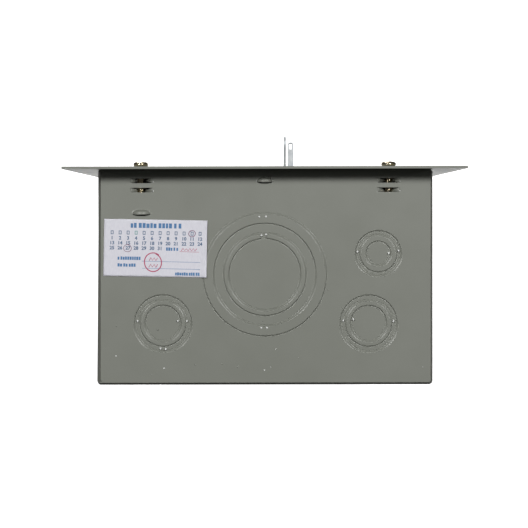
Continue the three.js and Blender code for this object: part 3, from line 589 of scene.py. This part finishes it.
def slot_outline(cx, depths, grow):
    """A slot with rounded corners, as points in plan, widened all round by grow."""
    corner = (SLOT["corner"] + grow) * MM
    reach = (SLOT["half"] + grow) * MM - corner
    near, far = -(depths[0] - grow) * MM - corner, -(depths[1] + grow) * MM + corner
    points = []
    for quarter, (x, y) in enumerate(((reach, near), (-reach, near), (-reach, far), (reach, far))):
        for i in range(5):
            a = math.radians(90 * (quarter + i / 4))
            points.append((cx + x + corner * math.cos(a), y + corner * math.sin(a)))
    return points


def slot_wall(bm, cx, depths):
    """The cut sides of a slot, rolled in a little at the outer face. Returns its first and last ring."""
    rows = []
    for grow, drop in SLOT_SIDE:
        rows.append([bm.verts.new((x, y, FACE - drop)) for x, y in slot_outline(cx, depths, grow)])
    skin(bm, rows)
    return rows[0], rows[-1]


def lens(bm, x, y, z, radii):
    """A small closed drop of metal or paint, half sunk in the surface."""
    place = Matrix.Translation((x, y, z)) @ Matrix.Diagonal((*radii, 1))
    bmesh.ops.create_icosphere(bm, subdivisions=2, radius=1, matrix=place)


# The strap of a slot in millimetres: how far it is sunk at its ends and goes in between them, its
# thickness, the length of each bent end, how much narrower it is at its ends and gets between them, and
# the gap at the side it stays close to.
STRAP = {"sunk": 0.12, "deep": 7.0, "thick": 1.1, "bent": 5.4}
STRAP |= {"narrow": 0.06, "narrower": 1.15, "gap": 0.05}


def strap(bm, cx, depths, side):
    """The strip lanced out of a slot: level with the wall at both ends and pushed in under the screw.

    It stays close to one long side of the slot and narrows away from the other, which is given by side.
    """
    reach, columns = SLOT["half"], 40
    upper, near, far = [], [], []
    for i in range(columns + 1):
        x = -reach + 2 * reach * i / columns
        bend = min(1, (reach - abs(x)) / STRAP["bent"])
        upper.append((x, -STRAP["sunk"] - STRAP["deep"] * bend**1.9))
        narrow = STRAP["narrow"] + STRAP["narrower"] * bend
        near.append(-(depths[0] + (narrow if side < 0 else STRAP["gap"])) * MM)
        far.append(-(depths[1] - (narrow if side > 0 else STRAP["gap"])) * MM)
    rows = []
    for ys in (near, far):
        row = [bm.verts.new((cx + x * MM, y, FACE + z * MM)) for (x, z), y in zip(upper, ys)]
        low = [bm.verts.new((v.co.x, v.co.y, v.co.z - STRAP["thick"] * MM)) for v in reversed(row)]
        rows.append(row + low)
    bridge(bm, *rows)
    for row in rows:
        bridge(bm, row[: columns + 1], row[:columns:-1], closed=False)


def slot_centres():
    """Where the slots are punched: off their screws by a little, towards the box's middle."""
    centres = []
    for screw, off in (("trim_screw_upper_left", 0.3 * MM), ("trim_screw_upper_right", 0.75 * MM)):
        low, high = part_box(screw)
        middle = 0.5 * (low.x + high.x)
        centres.append(middle - math.copysign(off, middle))
    return centres


SLOT_CENTRES = slot_centres()


def folded_rim(bm):
    """The rim, round the sheet's edge. Returns its rows of vertices on the outer and inner face."""
    columns = []
    for at, out, lip in rim_base():
        section = rim_section(lip)
        columns.append([bm.verts.new((*(at - out * inset), FACE - drop)) for inset, drop in section])
    rows = list(zip(*columns))
    skin(bm, rows, closed=False)
    for end in (0, -1):
        bm.faces.new([row[end] for row in rows])
    return rows[0], rows[-1]


def paint_nibs(bm, seed):
    """Paint nibs and small dings, scattered over the back half of the wall."""
    draw = random.Random(seed)
    for _ in range(14):
        x, y = draw.uniform(-98, 98) * MM, draw.uniform(-60, -6) * MM
        r = draw.uniform(0.2, 0.5) * MM
        lens(bm, x, y, FACE - 0.05 * MM, (r, r * draw.uniform(0.7, 1.6), 0.16 * MM))


def end_wall_mesh(seed):
    """One folded and pressed sheet with its straps. The seed places the nibs in its paint."""
    bm = bmesh.new()
    rims = folded_rim(bm)
    x = HALF_WIDTH - FRONT_CORNER
    corners = [[bm.verts.new((side * x, FRONT, z)) for side in (1, -1)] for z in (FACE, FACE - SHEET)]
    outer, inner = (ring_edges(bm, list(rim) + pair) for rim, pair in zip(rims, corners))
    bridge(bm, *([rim[-1], *pair, rim[0]] for rim, pair in zip(rims, corners)), closed=False)
    for knockout in KNOCKOUTS:
        outer += ring_edges(bm, knockout_patch(bm, knockout))
    openings = [louvre_patch(bm, louvre) for louvre in LOUVRES]
    for cx in SLOT_CENTRES:
        openings += [slot_wall(bm, cx, depths) for depths in SLOT["depths"]]
    for top, under in openings:
        outer += ring_edges(bm, top)
        inner += ring_edges(bm, under)
    for edges, up in ((outer, 1), (inner, -1)):
        bmesh.ops.triangle_fill(bm, use_beauty=True, edges=edges, normal=(0, 0, up))
    for cx in SLOT_CENTRES:
        for depths, side in zip(SLOT["depths"], (1, -1)):
            strap(bm, cx, depths, side)
    paint_nibs(bm, seed)
    return bm


# Small chips in the paint near the back: x, y and size in millimetres.
SCUFFS = [(0.4, -9.2, 0.45), (-3.6, -11, 0.3), (-6.7, -22.2, 0.35)]
SCUFFS += [(91.4, -18.2, 0.5), (62, -10.5, 0.55), (-96.8, -10.9, 0.3)]
# Radii of the nibs at the ties and at the ends of the slots. Their near-white colour is a painted glint.
TIE_NIB = (0.58 * MM, 0.68 * MM, 0.4 * MM)
SLOT_NIB = (0.3 * MM, 0.35 * MM, 0.2 * MM)


def bare_nibs():
    """Small near-white points: punch nibs at the ties and the slot ends, whose colour is a painted
    glint, and bare chips in the paint.
    """
    bm = bmesh.new()
    for knockout in KNOCKOUTS:
        cx, cy = knockout["at"]
        z = FACE + max(0.35 * MM, knockout["levels"][0] * STEP)
        for dx, dy in knockout["nibs"]:
            lens(bm, (cx + dx) * MM, (cy + dy) * MM, z, TIE_NIB)
    for x, y, size in SCUFFS:
        lens(bm, x * MM, y * MM, FACE, (size * MM, 0.7 * size * MM, 0.1 * MM))
    for cx in SLOT_CENTRES:
        for near, far in SLOT["depths"]:
            x = cx - (SLOT["half"] + 0.35) * MM
            lens(bm, x, -(0.7 * near + 0.3 * far) * MM, FACE, SLOT_NIB)
    return bm


def end_walls():
    """Both end walls and their nibs, near white as painted glints and bare chips. The lower one is the
    upper one turned over.
    """
    for name, turn, seed in (("end_wall_top", Matrix.Identity(4), 3), ("end_wall_bottom", FLIP, 8)):
        bm = end_wall_mesh(seed)
        bm.transform(turn)
        even(piece(f"{name}_pressing", bm, "enclosure", "paint", name))
        nibs = bare_nibs()
        nibs.transform(turn)
        piece(f"{name}_nibs", nibs, "enclosure", "zinc_steel", material=BARE_AND_GLINT)


# ---- Inspection label ----

# The label in millimetres and degrees: the place of its middle, its size and how far it is turned.
LABEL = {"at": (67.1, -84.2), "width": 63.3, "height": 35, "turn": -1.1}
# How it stands off the wall: the gap all over, the height of its ripples, the widths of the strips that
# rise at its right and lower edge, and how far they and the corner between them rise. The right edge
# lies on the large knockout's raised ring.
RISING = {"gap": 0.09, "ripple": 0.03, "right_strip": 5, "low_strip": 8}
RISING |= {"right": 0.72, "corner": 1.1, "low": 0.1}
# Rows of blocks where there is wording: start, end, middle line, height and gap. First the heading.
WORDING = [
    (16.3, 47.6, 3.7, 3.0, 0.5),
    (38.2, 45.6, 17.9, 2.0, 0.28),
    (8.6, 22.6, 23.9, 2.0, 0.28),
    (8.6, 19.8, 28.1, 2.0, 0.28),
    (44.0, 59.6, 33.0, 1.9, 0.22),
]
# The calendar: its columns, the first one's place and their pitch, the line of squares, the one that is
# green, the first row of days with the pitch of the rows, half the width and height of a square with the
# width of its line, and the height of the numerals.
CALENDAR = {"columns": 12, "left": 5.0, "across": 4.9, "squares": 8.2, "green": 3}
CALENDAR |= {"days": 11.6, "down": 3.05, "square": (0.65, 0.95, 0.2), "numeral": 2.1}
RULED = [[(23.5, 25.6), (59.3, 25.75)], [(23.8, 29.9), (59.3, 30.05)]]
THIN_LINE = 0.2
# Pen rings: middle, radii and width of the line. Scribbles: start, end, middle line, height, width of
# the line and number of strokes.
DARK_RINGS = [(54.0, 8.2, (2.0, 1.8), 0.36), (14.6, 17.8, (2.4, 2.0), 0.28)]
RED_RING = (30.4, 26.2, (5.3, 5.2), 0.62)
RED_LINE = [(46.5, 19.3), (58.5, 19.5)]
SCRIBBLES = [
    (47.5, 57.0, 18.0, 1.9, 0.36, 9),
    (28.0, 33.0, 24.2, 2.2, 0.42, 5),
    (27.8, 33.2, 28.4, 2.2, 0.42, 5),
]


def label_point(u, v, lift):
    """A point of the label in the frame. u and v are millimetres from its corner as it is read."""
    x, y = LABEL["width"] / 2 - u, v - LABEL["height"] / 2
    turn = math.radians(LABEL["turn"])
    right = ease((u - LABEL["width"] + RISING["right_strip"]) / RISING["right_strip"])
    low = ease((v - LABEL["height"] + RISING["low_strip"]) / RISING["low_strip"])
    rise = RISING["gap"] + RISING["ripple"] * math.sin(u * 0.5 + v * 0.2)
    rise += RISING["right"] * right + RISING["corner"] * right * low + RISING["low"] * low
    at_x, at_y = LABEL["at"]
    return (
        (at_x + x * math.cos(turn) - y * math.sin(turn)) * MM,
        (at_y + x * math.sin(turn) + y * math.cos(turn)) * MM,
        FACE + (rise + lift) * MM,
    )


def label_sheet():
    """The paper: two layers of points, joined round their rims."""
    bm = bmesh.new()
    columns, rows, thick = 64, 36, 0.12
    heights = [LABEL["height"] * j / rows for j in range(rows + 1)]
    rims = []
    for lift in (thick, 0):
        layer = []
        for i in range(columns + 1):
            u = LABEL["width"] * i / columns
            layer.append([bm.verts.new(label_point(u, v, lift)) for v in heights])
        skin(bm, layer, closed=False)
        rims.append(grid_rim(layer))
    bridge(bm, *rims)
    return bm


def absorb(bm, other):
    """Move everything in another mesh into bm."""
    mesh = bpy.data.meshes.new("absorbed")
    other.to_mesh(mesh)
    other.free()
    bm.from_mesh(mesh)
    bpy.data.meshes.remove(mesh)


class Print:
    """Ink as thin closed plates on a sheet, drawn in millimetres from the sheet's corner as it is read.

    place(u, v, lift) gives the point of the frame, lift being the height over the sheet.
    """

    THICK = 0.03

    def __init__(self, place, lift, seed=1):
        self.bm = bmesh.new()
        self.place, self.lift = place, lift
        self.draw = random.Random(seed)

    def plate(self, outline):
        """A flat shape."""
        rows = []
        for rise in (0, self.THICK):
            rows.append([self.bm.verts.new(self.place(u, v, self.lift + rise)) for u, v in outline])
        bridge(self.bm, *rows)
        self.bm.faces.new(rows[0])
        self.bm.faces.new(rows[1][::-1])

    def bar(self, u0, v0, u1, v1):
        """A rectangle between two corners."""
        self.plate([(u0, v0), (u1, v0), (u1, v1), (u0, v1)])

    def stroke(self, points, width):
        """A line along points."""
        sections = []
        for i, (u, v) in enumerate(points):
            before, after = points[max(i - 1, 0)], points[min(i + 1, len(points) - 1)]
            along = Vector((after[0] - before[0], after[1] - before[1])).normalized() * width / 2
            left, right = (u - along.y, v + along.x), (u + along.y, v - along.x)
            top = self.lift + self.THICK
            corners = [(*left, self.lift), (*right, self.lift), (*right, top), (*left, top)]
            sections.append([self.bm.verts.new(self.place(*corner)) for corner in corners])
        skin(self.bm, sections)
        self.bm.faces.new(sections[0])
        self.bm.faces.new(sections[-1][::-1])

    def ring(self, u, v, radii, width):
        """A hand-drawn ring that doesn't quite meet itself."""
        start, turns = self.draw.uniform(0, 2 * math.pi), 2 * math.pi * 1.06
        points = []
        for i in range(37):
            a = start + turns * i / 36
            swell = 1 + 0.05 * math.sin(2 * a + start) + 0.08 * i / 36
            points.append((u + radii[0] * swell * math.cos(a), v + radii[1] * swell * math.sin(a)))
        self.stroke(points, width)

    def scribble(self, u0, u1, v, tall, width, steps):
        """Pen zigzags where something is written by hand."""
        points = []
        for i in range(steps + 1):
            swing = tall / 2 * (-1) ** i * self.draw.uniform(0.5, 1)
            points.append((u0 + (u1 - u0) * i / steps, v + swing))
        self.stroke(points, width)

    def blocks(self, u0, u1, v, height, gap):
        """A row of plain blocks where there would be wording."""
        u = u0
        while u < u1 - 0.3:
            wide = min(self.draw.uniform(0.75, 1.05) * height * 0.62, u1 - u)
            top = v - height / 2 * self.draw.choice((1, 1, 1, 0.8))
            self.bar(u, top, u + wide, v + height / 2)
            u += wide + gap * self.draw.choice((1, 1, 1, 2.6))

    def box(self, u, v, half_wide, half_tall, line):
        """A small empty square."""
        for side in (-1, 1):
            at = v + side * half_tall
            self.bar(u - half_wide - line, at - line, u + half_wide + line, at + line)
            at = u + side * half_wide
            self.bar(at - line, v - half_tall + line, at + line, v + half_tall - line)

    def numeral(self, text, u, v, height):
        """A number centred on a point."""
        curve = bpy.data.curves.new("numeral", "FONT")
        curve.body = text
        curve.align_x, curve.align_y = "CENTER", "CENTER"
        curve.size = height * 1.38  # the font's numerals are lower than its size
        curve.offset = 0.045 * height
        curve.extrude = self.THICK / 2
        curve.resolution_u = 3
        made = bpy.data.objects.new("numeral", curve)
        shape = bmesh.new()
        shape.from_mesh(made.to_mesh())
        made.to_mesh_clear()
        bpy.data.objects.remove(made)
        bpy.data.curves.remove(curve)
        bmesh.ops.remove_doubles(shape, verts=shape.verts, dist=0.001)
        for vertex in shape.verts:
            rise = self.lift + self.THICK / 2 + vertex.co.z
            vertex.co = self.place(u + vertex.co.x, v - vertex.co.y, rise)
        absorb(self.bm, shape)

    def finish(self, name, body, material):
        """The ink as one piece."""
        piece(name, self.bm, body, "paper", smooth=False, material=material)


def label_print():
    """A heading and captions of plain blocks, a row of squares, days as numerals, ruled lines."""
    blue, slate, green = (Print(label_point, 0.14, seed) for seed in (21, 1, 1))
    left, across = CALENDAR["left"], CALENDAR["across"]
    for row in WORDING:
        blue.blocks(*row)
    for month in range(CALENDAR["columns"]):
        ink_used = green if month == CALENDAR["green"] else slate
        ink_used.box(left + across * month, CALENDAR["squares"], *CALENDAR["square"])
    for day in range(1, 32):
        row, column = divmod(day - 1, CALENDAR["columns"])
        v = CALENDAR["days"] + CALENDAR["down"] * row
        slate.numeral(str(day), left + across * column, v, CALENDAR["numeral"])
    for line in RULED:
        blue.stroke(line, THIN_LINE)
    blue.finish("label_blue_print", "enclosure", BLUE_INK)
    slate.finish("label_slate_print", "enclosure", SLATE_INK)
    green.finish("label_green_print", "enclosure", GREEN_INK)


def label_pen():
    """Dark pen: rings round a square and a day. Red pen: scribbles, a line and a round stamp."""
    dark, red = Print(label_point, 0.18, 5), Print(label_point, 0.18, 6)
    for ring in DARK_RINGS:
        dark.ring(*ring)
    red.ring(*RED_RING)
    for marks in SCRIBBLES:
        red.scribble(*marks)
    red.stroke(RED_LINE, THIN_LINE)
    dark.finish("label_dark_pen", "enclosure", VIOLET_INK)
    red.finish("label_red_pen", "enclosure", RED_INK)


def inspection_label():
    """The paper, its printing and what is written on it."""
    piece("label_sheet", label_sheet(), "enclosure", "paper", "inspection_label")
    label_print()
    label_pen()


# ---- Circuit directory and circuit numbers ----


def directory_print():
    """The card inside the door: a frame, eight numbered lines, and four filled in by hand."""
    low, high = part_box("circuit_directory")
    width, height = (high.x - low.x) / MM, (high.z - low.z) / MM

    def place(u, v, lift):
        return high.x - u * MM, high.y + lift * MM, high.z - v * MM

    black, pen = Print(place, 0.0, 3), Print(place, 0.03, 8)
    margin, top, pitch, half_line, filled_in = 3.5, 14.0, 17.5, 0.2, (1, 2, 3, 5)
    black.blocks(margin + 8, width - margin - 8, 7.0, 3.0, 0.6)
    for v in (top - 2, height - margin):
        black.bar(margin, v - half_line, width - margin, v + half_line)
    for u in (margin, width / 2, width - margin):
        black.bar(u - half_line, top - 1.7, u + half_line, height - margin - 0.3)
    for number in range(1, 9):
        row, column = divmod(number - 1, 2)
        u, v = margin + column * (width / 2 - margin), top + pitch * (row + 0.6)
        black.numeral(str(number), u + 3.2, v, 3.6)
        for rise in (-3.2, 3.2):
            black.bar(u + 6.5, v + rise, u + width / 2 - margin - 1.5, v + rise + 0.15)
        if number in filled_in:
            pen.scribble(u + 7, u + 14 + 1.4 * number, v + 1.2, 3.0, 0.35, 8 + number)
    black.finish("directory_print", "door", BLACK_INK)
    pen.finish("directory_pen", "door", BLUE_INK)


def circuit_numbers():
    """Numbers beside the breaker openings, on whatever face of the dead front lies there."""
    front = NODES["dead_front"]
    into = front.matrix_world.inverted()
    bm = bmesh.new()
    first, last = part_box("breaker_case_1"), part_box("breaker_case_5")
    pitch = ((first[0] + first[1]) - (last[0] + last[1])).z / 4
    top = (first[0].z + first[1].z) / 2
    aside, height = 5, 5
    for number in range(1, 9):
        row, column = divmod(number - 1, 2)
        x = (aside if column else -aside) * MM
        z = top - pitch * row
        hit, at, _, _ = front.ray_cast(into @ Vector((x, cad_low.y, z)), Vector((0, 1, 0)))
        if not hit:
            continue
        face = (front.matrix_world @ at).y

        def place(u, v, lift, x=x, z=z, face=face):
            return x + u * MM, face - lift * MM, z - v * MM

        one = Print(place, 0.0)
        one.numeral(str(number), 0, 0, height)
        absorb(bm, one.bm)
    piece("circuit_numbers", bm, "enclosure", "paint", smooth=False, material=WHITE_INK)


# ---- Trim screws ----

# In millimetres: the head's radius, height and rolled edge, and where its underside meets the shank.
HEAD = {"radius": 4.6, "tall": 3.4, "roll": 1.5, "foot": 2.6}
# The thread's pitch and radii, the length over which it narrows at the tip, and the share left there.
THREAD = {"pitch": 0.8, "root": 2.0, "crest": 2.36, "run_out": 2.0, "left": 0.55}
SCREW_SIDES = 32
# The cross recess: half the length and half the thickness of its blades, how far they start in front of
# the head and end inside it, and their size in there as a share.
RECESS = {"long": 2.4, "thin": 0.55, "before": 0.4, "deep": 1.7, "taper": 0.55}


def screw_ring(bm, y, radii):
    """A ring of vertices round the Y axis."""
    ring = []
    for j, r in enumerate(radii):
        a = 2 * math.pi * j / SCREW_SIDES
        ring.append(bm.verts.new((r * math.cos(a) * MM, y * MM, r * math.sin(a) * MM)))
    return ring


def thread_rows(bm, under, tip):
    """The shank from under the head to its tip, with a helical thread and a narrower tip."""
    step = THREAD["pitch"] / 5
    rows = []
    for i in range(int((tip - under) / step) + 1):
        y = under + i * step
        run_out = ease((tip - y) / THREAD["run_out"])
        radii = []
        for j in range(SCREW_SIDES):
            phase = (y / THREAD["pitch"] + j / SCREW_SIDES) % 1
            ridge = ease(1 - abs(2 * phase - 1))
            radius = THREAD["root"] + (THREAD["crest"] - THREAD["root"]) * ridge
            radii.append(radius * (THREAD["left"] + (1 - THREAD["left"]) * run_out))
        rows.append(screw_ring(bm, y, radii))
    return rows


def head_profile(front, under):
    """Radius and place along Y from the head's underside round its rolled edge to near its middle."""
    roll = HEAD["roll"]
    inside = HEAD["radius"] - roll
    profile = [(HEAD["foot"], under), (inside, under)]
    for i in range(1, 10):
        a = math.radians(-90 + 170 * i / 9)
        profile.append((inside + roll * math.cos(a), under - roll - roll * math.sin(a)))
    edge, start = profile[-1]
    for i in range(1, 7):
        t = i / 7
        profile.append((edge * (1 - t), start - (start - front) * math.sin(t * math.pi / 2)))
    return profile


def screw_mesh(front, tip):
    """A long machine screw along Y: a rolled round head, and a thread to the tip."""
    bm = bmesh.new()
    under = front + HEAD["tall"]
    shank = thread_rows(bm, under, tip)
    head = [screw_ring(bm, y, [r] * SCREW_SIDES) for r, y in head_profile(front, under)]
    skin(bm, head)
    bm.faces.new(head[-1])
    bridge(bm, head[0], shank[0])
    skin(bm, shank)
    bm.faces.new(shank[-1])
    return bm


def recess_blades(front):
    """Two crossed blades that taper into the head."""
    bm = bmesh.new()
    long, thin = RECESS["long"], RECESS["thin"]
    ends = ((front - RECESS["before"], 1.0), (front + RECESS["deep"], RECESS["taper"]))
    for half_x, half_z in ((long, thin), (thin, long)):
        rows = []
        for y, share in ends:
            corners = ((-half_x, -half_z), (half_x, -half_z), (half_x, half_z), (-half_x, half_z))
            rows.append([bm.verts.new((x * share * MM, y * MM, z * share * MM)) for x, z in corners])
        bm.faces.new(rows[0])
        bm.faces.new(rows[1][::-1])
        bridge(bm, rows[1], rows[0])
    return bm


def cut_recess(bm, front):
    """Cut the cross recess into the head."""
    blades = recess_blades(front)
    blank, tool = as_object("screw_blank", bm), as_object("recess_tool", blades)
    blades.free()
    cutter = blank.modifiers.new("recess", "BOOLEAN")
    cutter.operation = "DIFFERENCE"
    cutter.object = tool
    cutter.solver = "EXACT"
    cutter.use_self = True
    bpy.context.view_layer.update()
    result = blank.evaluated_get(bpy.context.evaluated_depsgraph_get())
    bm.clear()
    bm.from_mesh(result.to_mesh())
    result.to_mesh_clear()
    for made in (blank, tool):
        bpy.data.objects.remove(made)


def trim_screws():
    """The four screws, each driven home at its own angle."""
    for end in ("lower", "upper"):
        for side in ("left", "right"):
            name = f"trim_screw_{end}_{side}"
            low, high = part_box(name)
            middle = (low + high) / 2
            front, tip = low.y / MM, high.y / MM
            bm = screw_mesh(front, tip)
            cut_recess(bm, front)
            turn = Matrix.Rotation(0.6 * middle.x / MM, 4, "Y")
            bm.transform(Matrix.Translation((middle.x, 0, middle.z)) @ turn)
            even(piece(f"{name}_turned", bm, "enclosure", "yellow_zinc", name))


# ---- CAD nodes that stay ----

# Widths of the rounded edges in millimetres, by slot.
BEVELS = {"paint": 0.25, "zinc_steel": 0.2, "yellow_zinc": 0.2, "aluminium": 0.4}
OTHER_BEVEL = 0.35


def node_slots():
    """The record's slot of each CAD node."""
    return {row["node"]: row["material_slot"] for row in frame["record"]["subparts"]}


def dress_cad_nodes():
    """Material and rounded edges for every CAD node. Replaced ones are hidden and need no rounding."""
    for name, slot in node_slots().items():
        node = NODES[name]
        node.data.materials.clear()
        node.data.materials.append(SLOTS[slot])
        if not node.hide_render:
            soften(node, BEVELS.get(slot, OTHER_BEVEL) * MM)


# ---- Camera, light and floor ----


def area_light(name, at, target, watts, wide, reflected):
    """A square light that faces a point."""
    data = bpy.data.lights.new(name, "AREA")
    data.energy = watts
    data.size = wide
    made = in_scene(name, data)
    made.location = at
    made.rotation_euler = (Vector(target) - Vector(at)).to_track_quat("-Z", "Y").to_euler()
    made.visible_glossy = reflected


def floor_sheet(name, half, z):
    """A pale glowing sheet under everything."""
    bm = bmesh.new()
    bmesh.ops.create_grid(bm, x_segments=2, y_segments=2, size=half)
    mesh = bpy.data.meshes.new(name)
    bm.to_mesh(mesh)
    bm.free()
    sheet = in_scene(name, mesh)
    sheet.location.z = z
    s = Surface(f"{name}_white", 0.7)
    s.color(s.mix(s.noise(3), (0.8, 0.8, 0.8), (0.84, 0.84, 0.84)))
    s.shader.inputs["Emission Color"].default_value = (1, 1, 1, 1)
    s.shader.inputs["Emission Strength"].default_value = 1.0
    mesh.materials.append(s.material)
    sheet.visible_diffuse = False
    sheet.visible_shadow = False
    return sheet


AMBIENT = 0.07  # strength of the white world on the object
FACE_MIDDLE = (0, (cad_low.y + cad_high.y) / 2, FACE)
ORIGIN = (0, 0, 0)
# Lights: place, the point they face, watts, width, and whether they show in reflections. The side and
# back fills stand under the floor, which casts no shadow. They would draw lines on the folded rim of the
# upper end wall, so they're kept out of reflections.
LIGHTS = {
    "key_-1": ((-0.7, -0.65, 1.71), FACE_MIDDLE, 15.5, 0.33, True),
    "key_1": ((0.7, -0.65, 1.71), FACE_MIDDLE, 15.5, 0.33, True),
    "front_fill": ((0.35, -1.8, -0.45), ORIGIN, 32, 0.9, True),
    "side_fill_1": ((-1, 0, -2), ORIGIN, 34, 1, False),
    "side_fill_2": ((1, 0, -2), ORIGIN, 34, 1, False),
    "back_fill": ((0, 0.5, -2.4), ORIGIN, 48, 1, False),
}
CAMERA = {"at": (0.00049, -0.10428, 1.478), "tilt": -0.0230, "roll": -0.002, "lens": 144.6}


def white_world(scene):
    """A world that is plain white to the camera and faint on the object."""
    world = bpy.data.worlds.new("studio")
    world.use_nodes = True
    scene.world = world
    nodes, links = world.node_tree.nodes, world.node_tree.links
    air = nodes["Background"]
    air.inputs["Color"].default_value = (1, 1, 1, 1)
    ray = nodes.new("ShaderNodeLightPath").outputs["Is Camera Ray"]
    strength = nodes.new("ShaderNodeMapRange")
    strength.inputs["To Min"].default_value = AMBIENT
    strength.inputs["To Max"].default_value = 1.0
    links.new(ray, strength.inputs["Value"])
    links.new(strength.outputs["Result"], air.inputs["Strength"])


def camera(scene):
    """The camera over the upper end wall, with the front of the box at the picture's top."""
    data = bpy.data.cameras.new("camera")
    data.lens = CAMERA["lens"]
    data.sensor_width = 36
    scene.camera = in_scene("camera", data)
    scene.camera.location = CAMERA["at"]
    scene.camera.rotation_euler = (CAMERA["tilt"], 0, math.pi + CAMERA["roll"])


def studio():
    """World, lights, camera and floor."""
    scene = bpy.context.scene
    scene.view_settings.view_transform = "Standard"
    white_world(scene)
    for name, values in LIGHTS.items():
        area_light(name, *values)
    camera(scene)
    # A small table near the box shines in the trim. The wide floor stays out of reflections.
    table = floor_sheet("table", half=0.19, z=cad_low.z - 0.5 * MM)
    table.location.y = cad_low.y / 2 - 0.1
    floor = floor_sheet("floor", half=6, z=cad_low.z - MM)
    floor.visible_glossy = False


end_walls()
inspection_label()
directory_print()
circuit_numbers()
trim_screws()
dress_cad_nodes()
studio()
